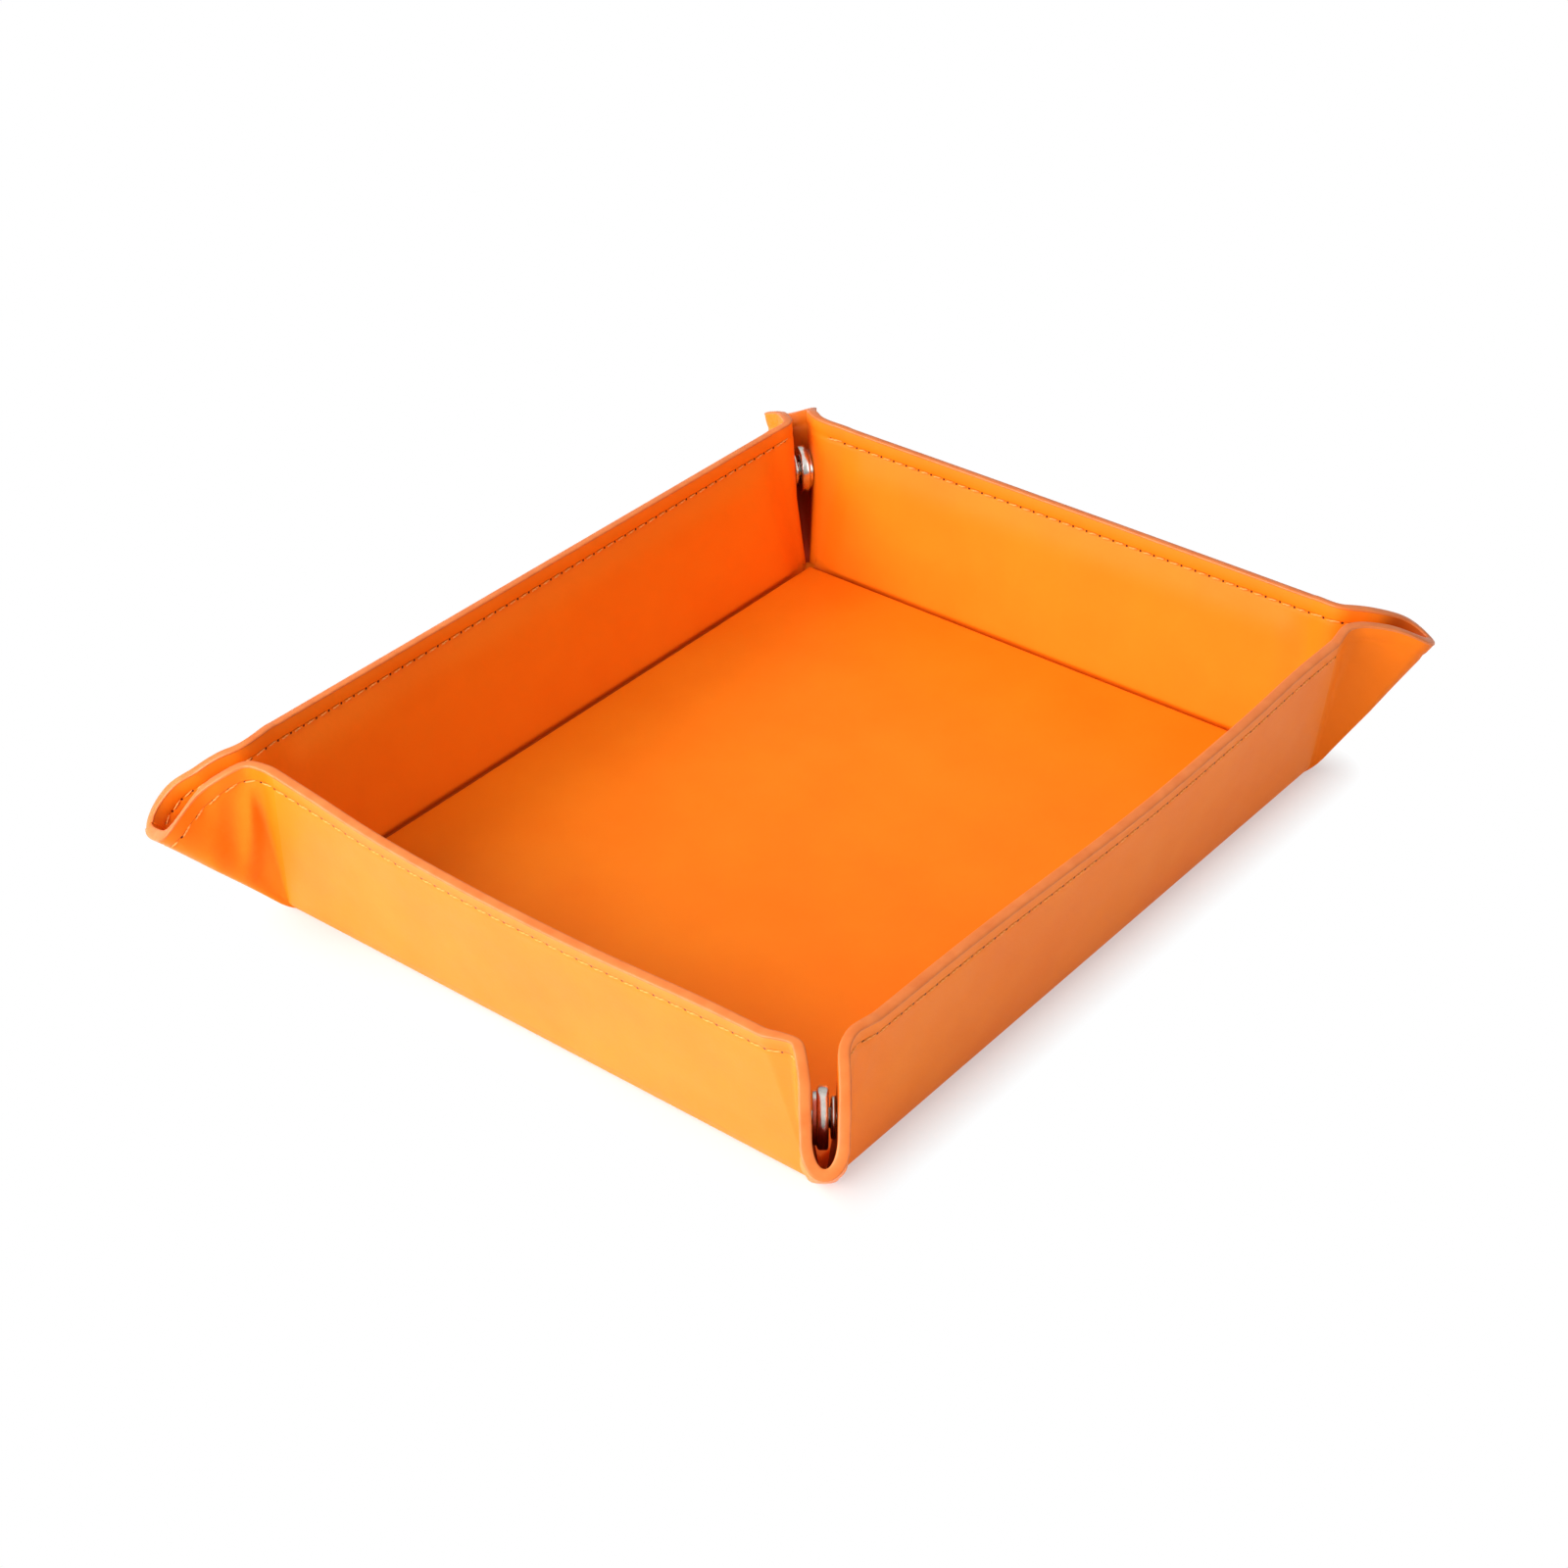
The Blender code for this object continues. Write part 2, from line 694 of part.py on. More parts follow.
def wall_hinge(name):
    """Point, axis and swing of a wall's crease: it turns outward and down until it lies flat."""
    normal = np.array(WALLS[name][0], float)
    reach = abs(normal @ np.array([BASE_LENGTH / 2, BASE_WIDTH / 2, 0.0]))
    return normal * reach, np.cross(Z_AXIS, normal), SQUARE - LEAN


def ear_hinge(half):
    """Point, axis and swing of a half ear on its wall, and the wall's name.

    The turn carries the half from its place beside the stud to its place in the flat tray, where
    its fold lies beside the diagonal. That place is slid along the diagonal to where one plain
    turn on the wall reaches it.
    """
    corner = half.corner
    rise = math.radians(corner.fold["rise"])
    fold = math.cos(rise) * corner.out + math.sin(rise) * Z_AXIS
    seat = corner.root + SEAT_GAP * half.across
    rest = axes(seat, fold, half.across, np.cross(fold, half.across))
    sx, sy = CORNER_SIGNS[corner.name]
    diagonal = unit([sx, sy, 0.0])
    away = unit([sx, -sy, 0.0]) if half.side == "short" else unit([-sx, sy, 0.0])
    flat = axes(corner.root + FIT_GAP * away, diagonal, -Z_AXIS, np.cross(diagonal, -Z_AXIS))
    wall = next(name for name, (normal, _) in WALLS.items() if half.normal @ normal == 1)
    point, axis, swing = wall_hinge(wall)
    place = Matrix.Translation(Vector(point))
    back = place @ Matrix.Rotation(-swing, 4, Vector(axis)) @ place.inverted()
    move = back @ flat @ rest.inverted()
    axis, swing = move.to_3x3().to_quaternion().to_axis_angle()
    slide = back.to_3x3() @ Vector(diagonal)
    shift = np.array(move.translation - slide * (axis.dot(move.translation) / axis.dot(slide)))
    axis = np.array(axis)
    centre = np.linalg.pinv(np.eye(3) - np.array(move.to_3x3())) @ shift
    centre += axis * ((half.apex - centre) @ axis)
    return centre, axis, swing, wall


def report(name, point, axis, swing):
    """One line for each joint: its point in metres, its axis, and its swing in degrees."""
    numbers = [f"{number:.6f}" for number in (*point, *axis)]
    print("joint", name, *numbers, f"{math.degrees(swing):.4f}")


def main():
    clear_scene()
    tray = new_collection("jewelry_tray")
    cutters = new_collection("cutters")
    looks = {
        "cover": (tray, principled("orange_leather")),
        "lining": (tray, principled("lining_leather")),
        "board": (tray, principled("grey_board")),
        "metal": (tray, principled("nickel")),
    }
    corners = {name: Corner(name) for name in EARS}
    add_base(looks)
    creases = {}
    for name in WALLS:
        point, axis, swing = wall_hinge(name)
        report(f"{name}_fold", point, axis, swing)
        creases[name] = pivot(f"{name}_crease", point, axis, tray)
        hang(add_wall(name, looks, corners), creases[name])
    for corner in corners.values():
        for side in ("short", "long"):
            half = corner.half(side)
            point, axis, swing, wall = ear_hinge(half)
            report(f"{corner.name}_{side}_half_unfold", point, axis, swing)
            ear = pivot(f"{corner.name}_{side}_half_bend", point, axis, tray, creases[wall])
            hang(add_ear_half(half, looks, cutters), ear)


main()
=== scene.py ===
# %% [markdown]
# # A leather snap tray for jewelry
# The tray is two sheets of leather, a cover outside and a lining inside, sewn together along
# their painted edge over five stiff boards. Press studs pinch its corners into ears. The packed
# model holds the plain solids and their hinges. This lesson dresses them: every sheet is built
# again, finer and softer, then the edge paint, the stitching and the nickel studs.
# The imported model comes first, because each piece is placed where its solids are, and some ride on
# its bodies.

# %% The imported model
import math
from functools import partial

import bmesh
import bpy
import numpy as np
from mathutils import Matrix, Vector


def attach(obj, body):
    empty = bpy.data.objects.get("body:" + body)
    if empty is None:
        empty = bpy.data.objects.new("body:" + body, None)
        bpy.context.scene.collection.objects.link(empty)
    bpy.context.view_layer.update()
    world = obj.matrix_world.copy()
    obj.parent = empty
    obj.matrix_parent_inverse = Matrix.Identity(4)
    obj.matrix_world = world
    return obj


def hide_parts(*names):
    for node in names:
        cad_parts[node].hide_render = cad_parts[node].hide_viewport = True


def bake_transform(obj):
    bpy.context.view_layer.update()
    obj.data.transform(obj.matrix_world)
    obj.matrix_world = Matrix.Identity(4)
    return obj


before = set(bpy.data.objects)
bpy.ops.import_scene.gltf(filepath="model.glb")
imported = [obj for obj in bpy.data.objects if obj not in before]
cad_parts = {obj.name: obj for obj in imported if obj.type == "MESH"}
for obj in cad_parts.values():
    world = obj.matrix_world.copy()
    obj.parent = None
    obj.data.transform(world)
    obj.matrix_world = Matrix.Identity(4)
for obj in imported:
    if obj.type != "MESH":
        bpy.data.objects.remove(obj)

bpy.context.view_layer.update()

# %% [markdown]
# The sizes are those of the solids, in metres. They could be measured off the solids, but named
# here they also place what the solids lack, such as the seam. The leather is a little thicker
# than in the solids, because the two sheets really touch and need no clearance between them.
#
# An ear has its fold's rise in degrees, the droop of its tip, its reach as a share of the wall's
# height, its turn towards the short wall, half the width of its loop, the places where the loop
# starts and is widest, and how pointed it is.

# %% Sizes
BASE_LENGTH = 0.192
BASE_WIDTH = 0.154
WALL_HEIGHT = 0.042
LEAN = math.radians(10)
SLANT = math.radians(7.5)
RIM_THICK = 0.0023
SHEET = 0.00112
BOARD_LIFT = 0.0011
FLOOR_TOP = 0.0041
CORNER_CUT = 0.0035
BEND_LENGTH = 0.0135
BEND_SHIFT = 0.0011
SNAP_RADIUS = 0.00625
SNAP_HEIGHT = 0.026
SNAP_ANGLE_SHARE = 0.47
SEAT_GAP = 0.00465
NECK_FLARE = 0.00035
EARS = {
    "front_left": dict(
        rise=44.5, droop=2.2, reach=0.94, turn=7, loop=0.0048, shares=(0.15, 0.63), point=1.0
    ),
    "back_left": dict(
        rise=41, droop=0, reach=0.92, turn=6, loop=0.0074, shares=(0.05, 0.55), point=1.0
    ),
    "front_right": dict(
        rise=47.5, droop=-1.2, reach=1.03, turn=5, loop=0.0056, shares=(0.05, 0.6), point=1.3
    ),
    "back_right": dict(
        rise=47, droop=0, reach=1.03, turn=-5, loop=0.0068, shares=(0.05, 0.54), point=1.3
    ),
}
CORNER_SIGNS = {
    "front_left": (-1, -1),
    "back_left": (-1, 1),
    "front_right": (1, -1),
    "back_right": (1, 1),
}
WALLS = {
    "front_wall": ((0, -1, 0), "long", ("front_left", "front_right")),
    "back_wall": ((0, 1, 0), "long", ("back_right", "back_left")),
    "left_wall": ((-1, 0, 0), "short", ("back_left", "front_left")),
    "right_wall": ((1, 0, 0), "short", ("front_right", "back_right")),
}
Z_AXIS = np.array([0.0, 0.0, 1.0])
print("tray", BASE_LENGTH, "by", BASE_WIDTH, "by", WALL_HEIGHT)

# %% [markdown]
# The stitching runs along the rim, 3.7 mm in from the edge. It draws the two sheets together,
# so the leather dips in a narrow channel under the thread. The channel is modelled, because the
# light catches it all along the rim, and the leather bulges a little beside it.

# %% Seam and edge sizes
SEAM_INSET = 0.0037
STITCH_PITCH = 0.0039
STITCH_LENGTH = 0.0029
THREAD = 0.00044
CHANNEL_DEPTH = 0.00018
CHANNEL_HALF = 0.0007
BULGE = 0.00012
print("a stitch every", round(STITCH_PITCH * 1000, 1), "mm")


# %% [markdown]
# Each corner has an upright plane in which its ear folds. An ear could be sculpted or simulated
# as cloth, but then it would drift from the solids and their hinges. The solids place every point
# of an ear by three numbers: how far round the bend it is, how far up, and how deep in the
# leather. The same three numbers place the fine sheets, so that they lie where the solids are.

# %% Corners and half ears
def smooth(x):
    x = np.clip(x, 0.0, 1.0)
    return x * x * (3 - 2 * x)


def unit(vector):
    return np.asarray(vector, float) / np.linalg.norm(vector)


class Half:
    """One wall's end and the half ear that it runs into."""

    def __init__(self, name, side):
        self.name = name
        self.side = side
        self.fold = EARS[name]
        sx, sy = CORNER_SIGNS[name]
        point = np.array([sx * BASE_LENGTH / 2, sy * BASE_WIDTH / 2, 0.0])
        normals = {"short": np.array([sx, 0.0, 0.0]), "long": np.array([0.0, sy, 0.0])}
        diagonal = unit([sx, sy, 0])
        to_short = unit([sx, -sy, 0])
        turn = math.radians(self.fold["turn"])
        self.out = math.cos(turn) * diagonal + math.sin(turn) * to_short
        across = math.cos(turn) * to_short - math.sin(turn) * diagonal
        self.across = across if side == "short" else -across
        self.root = point - diagonal * CORNER_CUT / math.sqrt(2)
        tip_angle = math.pi / 2 - math.radians(self.fold["rise"])
        snap_angle = SNAP_ANGLE_SHARE * tip_angle
        self.snap_place = snap_angle * WALL_HEIGHT
        self.snap_reach = SNAP_HEIGHT * math.tan(snap_angle)
        self.seat_low = SNAP_HEIGHT / math.cos(snap_angle) - SNAP_RADIUS
        self.normal = normals[side]
        self.along = -normals["long" if side == "short" else "short"]
        self.apex = point + self.along * CORNER_CUT
        self.up_slant = math.sin(LEAN) * self.normal + math.cos(LEAN) * Z_AXIS
        self.wall_normal = math.cos(LEAN) * self.normal - math.sin(LEAN) * Z_AXIS
        self.apex_gap = float((self.apex - self.root) @ self.across)
        self.tip = (tip_angle + math.radians(self.fold["droop"])) * WALL_HEIGHT
        self.neck_start = BEND_LENGTH - BEND_SHIFT
        shares = self.fold["shares"]
        self.loop_start, self.loop_widest = (
            self.snap_place + share * (self.tip - self.snap_place) for share in shares
        )

    def wall_points(self, arc, radius, depth):
        angle = arc / WALL_HEIGHT - SLANT
        way = np.cos(angle)[..., None] * self.up_slant - np.sin(angle)[..., None] * self.along
        return self.apex + radius[..., None] * way - depth[..., None] * self.wall_normal

    def neck_gap(self, radius):
        rising = (SEAT_GAP - self.apex_gap) * np.clip(radius / self.seat_low, 0, 1)
        high = np.clip((radius - self.seat_low) / (WALL_HEIGHT - self.seat_low), 0, 2)
        return self.apex_gap + rising + NECK_FLARE * high**2

    def ear_points(self, place, swell, closing, radius, depth):
        inset = depth * WALL_HEIGHT / np.maximum(radius, 0.0001) / (self.tip - self.neck_start)
        place = place - np.maximum(place - self.neck_start, 0) * np.minimum(inset, 1)
        gap = self.neck_gap(radius) + swell * (radius / WALL_HEIGHT) ** 2 - depth
        gap = np.maximum(gap * closing, 0)
        angle = place / WALL_HEIGHT
        fold = np.sin(angle)[..., None] * self.out + np.cos(angle)[..., None] * Z_AXIS
        return self.root + radius[..., None] * fold + gap[..., None] * self.across


half_of = {(name, side): Half(name, side) for name in EARS for side in ("short", "long")}
for name in EARS:
    print(name, "rim from fold to wall", round(half_of[name, "short"].tip * 1000, 1), "mm")


# %% [markdown]
# A half ear is read from the wall's end to its fold in small steps: first the bend, where the
# wall's plane turns into the neck beside the stud, then the neck, then the loop, and at last the
# leather coming round to meet the other half.

# %% Stations round a half ear
BEND_STEPS, NECK_STEPS, LOOP_STEPS, CLOSING_STEPS = 25, 5, 12, 22


def ear_stations(half):
    """Arrays with one number for each station: the bend's arc, place, swell, closing, how much of
    the ear is in it, and its share of the rim from the wall to the fold."""
    bend = np.linspace(0, BEND_LENGTH, BEND_STEPS + 1)
    neck = np.linspace(half.neck_start, half.loop_start, NECK_STEPS + 1)[1:]
    share = np.linspace(0, 1, LOOP_STEPS + 1)[1:]
    grow = half.loop_start + share * (half.loop_widest - half.loop_start)
    angle = np.linspace(0, math.pi / 2, CLOSING_STEPS + 1)[1:]
    close = half.loop_widest + np.sin(angle) * (half.tip - half.loop_widest)
    swell = half.fold["loop"] - SEAT_GAP - NECK_FLARE
    place = np.concatenate([np.maximum(bend - BEND_SHIFT, 0), neck, grow, close])
    swells = np.concatenate([0 * bend, 0 * neck, smooth(share) * swell, 0 * close + swell])
    straight = len(neck) + len(grow)
    closing = np.concatenate([np.ones(len(bend) + straight), np.cos(angle) ** half.fold["point"]])
    closing[-1] = 0.0
    arc = np.concatenate([bend, np.full(straight + len(close), BEND_LENGTH)])
    mix = smooth(arc / BEND_LENGTH)
    reached = np.concatenate([bend - BEND_SHIFT * smooth(bend / BEND_LENGTH), neck, grow, close])
    return arc, place, swells, closing, mix, reached / half.tip


# How softly the ear takes over from the wall's plane, and over how much of the bend it starts to
CROSSING = 0.0006
CROSSING_START = 0.004


def ear_surface(half, stations, level, depth):
    """Points of the ear for arrays of stations by rows: level is the share of the rim's radius,
    or more than 1 past it, and depth is metres below the outer face."""
    arc, place, swell, closing, mix, share = (s[:, None] + 0 * level for s in stations)
    start = WALL_HEIGHT / math.cos(SLANT)
    rim = start + smooth(share) * (half.fold["reach"] * WALL_HEIGHT - start)
    radius = level * rim
    on_wall = half.wall_points(arc, radius, depth)
    on_ear = half.ear_points(place, swell, closing, radius, depth)
    ahead = (on_ear - on_wall) @ half.across
    crossed = (ahead + np.sqrt(ahead**2 + CROSSING**2)) / 2 * smooth(arc / CROSSING_START)
    held = on_wall + crossed[..., None] * half.across
    return (1 - mix)[..., None] * held + mix[..., None] * on_ear


print("stations round a half ear", len(ear_stations(half_of["back_left", "short"])[0]))


# %% [markdown]
# Every sheet of leather is made by the same steps. A grid is created, extruded once to give the
# sheet its second side, and each of its points is then moved to where the formulas put it. A
# Solidify modifier could give the thickness, but it would open or cross the tight folds, and
# here both sides are known. The result is one closed body. It also carries a map named seam,
# which counts stitches along the rim in one direction and measures millimetres from the rim in
# the other, so that a material can find the needle holes.

# %% A closed sheet from a grid
SHARP = math.radians(50)


def finish_mesh(name, bm):
    data = bpy.data.meshes.new(name)
    bm.to_mesh(data)
    bm.free()
    obj = bpy.data.objects.new(name, data)
    bpy.context.scene.collection.objects.link(obj)
    return obj


def shade(data):
    data.shade_smooth()
    data.set_sharp_from_angle(angle=SHARP)


def facing_out(data):
    """Turns the faces round where they enclose a negative volume."""
    data.calc_loop_triangles()
    points = np.array([v.co for v in data.vertices])
    faces = np.array([t.vertices[:] for t in data.loop_triangles])
    corners = points[faces]
    volume = np.einsum("ij,ij->i", corners[:, 0], np.cross(corners[:, 1], corners[:, 2])).sum()
    if volume < 0:
        data.flip_normals()


def leather_sheet(name, near, far, seam, **marks):
    """A closed sheet whose sides are the arrays near and far of (station, row) points. Marks are
    numbers from 0 to 1 at each point: sewn where the seam runs, and painted shade deep in a fold."""
    columns, rows = near.shape[:2]
    bm = bmesh.new()
    bmesh.ops.create_grid(bm, x_segments=columns - 1, y_segments=rows - 1, size=0.5)
    made = bmesh.ops.extrude_face_region(bm, geom=bm.faces[:], use_keep_orig=True)
    raised = [v for v in made["geom"] if isinstance(v, bmesh.types.BMVert)]
    bmesh.ops.translate(bm, vec=(0, 0, 1), verts=raised)
    bmesh.ops.recalc_face_normals(bm, faces=bm.faces)
    obj = finish_mesh(name, bm)
    data = obj.data
    raw = np.empty(len(data.vertices) * 3, np.float32)
    data.vertices.foreach_get("co", raw)
    raw = raw.reshape(-1, 3)
    i = np.rint((raw[:, 0] + 0.5) * (columns - 1)).astype(int)
    j = np.rint((raw[:, 1] + 0.5) * (rows - 1)).astype(int)
    second = raw[:, 2] > 0.5
    placed = np.where(second[:, None], far[i, j], near[i, j])
    data.vertices.foreach_set("co", placed.astype(np.float32).ravel())
    corner_verts = np.empty(len(data.loops), np.int32)
    data.loops.foreach_get("vertex_index", corner_verts)
    layer = data.uv_layers.new(name="seam")
    layer.data.foreach_set("uv", seam[i, j][corner_verts].astype(np.float32).ravel())
    for mark, values in marks.items():
        values = np.broadcast_to(values, (columns, rows))[i, j].astype(np.float32)
        data.attributes.new(mark, "FLOAT", "POINT").data.foreach_set("value", values)
    data.update()
    facing_out(data)
    shade(data)
    return obj


# %% [markdown]
# The walls. Seen along a crease, the cover comes from under the base, rounds the bottom edge and
# goes straight up the outside. The lining leaves a groove at the foot, climbs over the board's
# lower edge, runs up its face and steps down again above it. Such a section could be drawn as a
# curve and swept, but a wall's ends slant and its rim bows, so both profiles are worked out
# flat, as a distance outward from the crease and a height, and set along the wall at each station.

# %% Profiles of a wall
COVER_FLAP = 0.0038
LINING_FLAP = 0.003
BOTTOM_ROUND = 0.004
TURN = math.pi / 2 - LEAN
BOARD_TOP_FADE = (0.0034, 0.0105)
END_FADE = (0.0003, 0.0085)


def on_wall_profile(height, depth):
    """(outward, up) of a point at a height up the slant and a depth below the outer face."""
    outward = height * math.sin(LEAN) - depth * math.cos(LEAN)
    return np.stack([outward, height * math.cos(LEAN) + depth * math.sin(LEAN)], axis=-1)


def cover_profile(depth, heights, depths):
    """The cover's section at one depth: flap, rounded bottom edge, wall."""
    foot = depth * (1 - math.sin(LEAN)) / math.cos(LEAN)
    corner = on_wall_profile(np.array(foot), np.array(depth))
    radius = BOTTOM_ROUND - depth
    centre = corner + [-radius * math.tan(TURN / 2), radius]
    flap = [[-COVER_FLAP + share * (centre[0] + COVER_FLAP), depth] for share in (0, 0.5)]
    angles = np.linspace(-math.pi / 2, -LEAN, 10)
    bend = centre + radius * np.stack([np.cos(angles), np.sin(angles)], axis=-1)
    return np.concatenate([flap, bend, on_wall_profile(heights, depths)])


def curve_through(points, count):
    """A smooth line through a few points, with a count of steps in each stretch."""
    points = np.asarray(points)
    ends = np.concatenate([[2 * points[0] - points[1]], points, [2 * points[-1] - points[-2]]])
    line = []
    for k in range(len(points) - 1):
        a, b, c, d = ends[k : k + 4]
        for t in np.arange(0, 1, 1 / count):
            curving = (2 * a - 5 * b + 4 * c - d) * t**2 + (3 * b - a - 3 * c + d) * t**3
            line.append(b + ((c - a) * t + curving) / 2)
    return np.array(line)


def lining_profile(heights, depths, hidden):
    """The lining's section from the groove up: its seen side, or its hidden side."""
    lift = SHEET if hidden else 0.0
    over = float(depths[0])
    # From the edge of the base's lining into the groove, and over the board's foot onto its face
    knots = [
        (-LINING_FLAP, RIM_THICK - lift),
        (-0.0026, RIM_THICK - 0.00015 - lift),
        on_wall_profile(np.array(0.0022), np.array(RIM_THICK + 0.0002 - lift)),
        on_wall_profile(np.array(0.0036), np.array(over - 0.0001)),
        on_wall_profile(np.array(0.0047), np.array(over)),
        on_wall_profile(heights[0], depths[0]),
    ]
    return np.concatenate([curve_through(knots, 5), on_wall_profile(heights, depths)])


def fade(x, band):
    return smooth((x - band[0]) / (band[1] - band[0]))


def channel(from_rim):
    """How far the seam draws the leather in, at a distance from the rim."""
    return CHANNEL_DEPTH * np.exp(-(((from_rim - SEAM_INSET) / CHANNEL_HALF) ** 2))


print("bottom edge rounded to", BOTTOM_ROUND * 1000, "mm")


# %% [markdown]
# A wall's stations stand close together at its ends, where the board stops and the leather dips,
# and further apart along the straight. Its rows are close together at the rim, where the seam
# and its channel are.

# %% Rows and stations
# Rows as distances from the rim and heights from the crease, and stations from a wall's end
FROM_RIM = np.array([5.5, 5, 4.6, 4.3, 4, 3.7, 3.4, 3.1, 2.8, 2.4, 1.9, 1.4, 0.9, 0.4, 0]) / 1000
LOW_ROWS = np.array([5.5, 7, 9, 12]) / 1000
WALL_ROWS = np.concatenate([LOW_ROWS, np.linspace(0.0155, 0.0345, 8), WALL_HEIGHT - FROM_RIM])
LOW_COVER_ROWS = np.array([0.0038, 0.0046])
END_STATIONS = np.concatenate([np.arange(0, 5, 0.5), [5.6, 6.5, 7.8, 9]]) / 1000
FIRST_STRAIGHT = 0.0105
STRAIGHT_STEP = 0.0022
print("rows up a wall", len(WALL_ROWS))

# %% [markdown]
# Leather that is stitched over board and pulled by its studs doesn't stand straight: the rims
# bow outward by up to 3 mm, and near some corners inward. A bow could be pushed in with a
# lattice. Here it is a few heights along each wall, joined by a smooth curve, so that the cover,
# board, lining, paint and thread all take the same one.

# %% Bows of the walls
# How far each rim stands out or in, in millimetres, at shares of the wall's length
BOWS = {
    "left_wall": (
        (0, -1.6), (0.1, -0.25), (0.25, 1.8), (0.45, 3.0), (0.68, 3.1), (0.87, 2.1), (1, 1.9),
    ),  # fmt: skip
    "front_wall": ((0, -0.7), (0.2, -0.45), (0.5, 1.15), (0.75, 0.7), (0.9, -0.3), (1, -0.4)),
    "right_wall": ((0, 0.2), (0.3, 0.5), (0.7, 0.45), (1, 0)),
    "back_wall": ((0, 0), (1, 0)),
}
BOW_STEPS = 12


def bow_growth(level):
    return np.clip(level, 0, 2) ** 1.5


class Wall:
    """The stations along a wall, and how far the bow carries each."""

    def __init__(self, name):
        normal, side, ends = WALLS[name]
        self.name = name
        self.first, self.last = (half_of[end, side] for end in ends)
        self.normal = np.array(normal, float)
        self.along = self.first.along
        self.start = float(self.first.apex @ self.along)
        self.stop = float(self.last.apex @ self.along)
        self.reach = abs(float(self.first.apex @ self.normal))
        length = self.stop - self.start
        middle = np.linspace(FIRST_STRAIGHT, length - FIRST_STRAIGHT, int(length / STRAIGHT_STEP))
        distance = np.concatenate([END_STATIONS, middle, (length - END_STATIONS)[::-1]])
        self.share = distance / length
        self.from_end = np.minimum(distance, length - distance)
        bow = curve_through(BOWS[name], BOW_STEPS)
        self.bow = np.interp(self.share, bow[:, 0], bow[:, 1]) / 1000
        self.first.bow, self.last.bow = self.bow[0], self.bow[-1]
        seam_length = length - 2 * (WALL_HEIGHT - SEAM_INSET) * math.tan(SLANT)
        self.stitches = round(seam_length / STITCH_PITCH)

    def place(self, section, heights):
        """Sets sections, one for each station, along the wall. Its ends lean in with the height."""
        lean_in = np.maximum(heights, 0) * math.tan(SLANT)
        share = self.share[:, None]
        along = (1 - share) * (self.start + lean_in) + share * (self.stop - lean_in)
        return (
            self.reach * self.normal
            + along[..., None] * self.along
            + section[..., :1] * self.normal
            + section[..., 1:] * Z_AXIS
        )

    def lift(self, heights):
        """How far outward the bow carries the leather, growing up to the rim."""
        return self.bow[:, None] * bow_growth(heights / WALL_HEIGHT)

    def seam_map(self, heights):
        count = self.share[:, None] * self.stitches + 0 * heights
        return np.stack([count, (WALL_HEIGHT - heights) * 1000], axis=-1)


bowed_walls = {name: Wall(name) for name in WALLS}
print("rims bow by up to", round(max(wall.bow.max() for wall in bowed_walls.values()) * 1000, 1), "mm")

# %% [markdown]
# Over the board the leather stands fuller, and it sinks to the bare pair of sheets where the
# board is thinned away, towards the wall's ends and below the seam. One fade between 0 and 1
# says how much board there is, and raises the cover, the lining and the board alike.

# %% The cover, the lining and the board of each wall
# The height over which the cover's swell grows, the painted shade of the groove and the heights
# between which it fades, then the board's lower edge, its least share of the thickness and its play
FOOT_FADE = 0.006
GROOVE_SHADE, GROOVE_BAND = 0.6, (0.0052, 0.0017)
BOARD_FOOT, BOARD_LEAST, BOARD_SLIP = 0.0044, 0.15, 0.00004


def board_share(wall, heights):
    """How much board lies at each station and row: 1 where it is full and 0 past its edges."""
    return fade(wall.from_end, END_FADE)[:, None] * fade(WALL_HEIGHT - heights, BOARD_TOP_FADE)


def in_groove(height):
    """How deep in the shadow of the groove at the foot of a wall a height lies."""
    return GROOVE_SHADE * fade(height, GROOVE_BAND)


def cover_of(wall):
    heights = np.concatenate([LOW_COVER_ROWS, WALL_ROWS])
    on_board = board_share(wall, heights) * smooth(heights / FOOT_FADE)
    lift = wall.lift(heights)
    seen = channel(WALL_HEIGHT - heights) - BULGE * on_board - lift
    near = np.stack([cover_profile(0.0, heights, depths) for depths in seen])
    far = np.stack([cover_profile(SHEET, heights, SHEET - up) for up in lift])
    bottom = len(near[0]) - len(heights)
    rows = np.concatenate([np.zeros(bottom), heights])[None, :] + 0 * near[..., 0]
    sides = (wall.place(near, rows), wall.place(far, rows))
    return leather_sheet(f"{wall.name}_cover_leather", *sides, wall.seam_map(rows), sewn=1)


def lining_of(wall):
    heights = WALL_ROWS
    raised = BOARD_LIFT * board_share(wall, heights)
    seen = RIM_THICK + raised - channel(WALL_HEIGHT - heights) - wall.lift(heights)
    near = np.stack([lining_profile(heights, d, False) for d in seen])
    far = np.stack([lining_profile(heights, d, True) for d in seen - SHEET])
    bottom = len(near[0]) - len(heights)
    foot = np.maximum(near[..., 1], 0) / math.cos(LEAN)
    rows = np.concatenate([foot[:, :bottom], heights + 0 * seen], axis=1)
    sides = (wall.place(near, rows), wall.place(far, rows))
    # Shade is painted into the groove at the foot of the wall
    return leather_sheet(
        f"{wall.name}_lining_leather", *sides, wall.seam_map(rows), sewn=1, crease=in_groove(rows)
    )


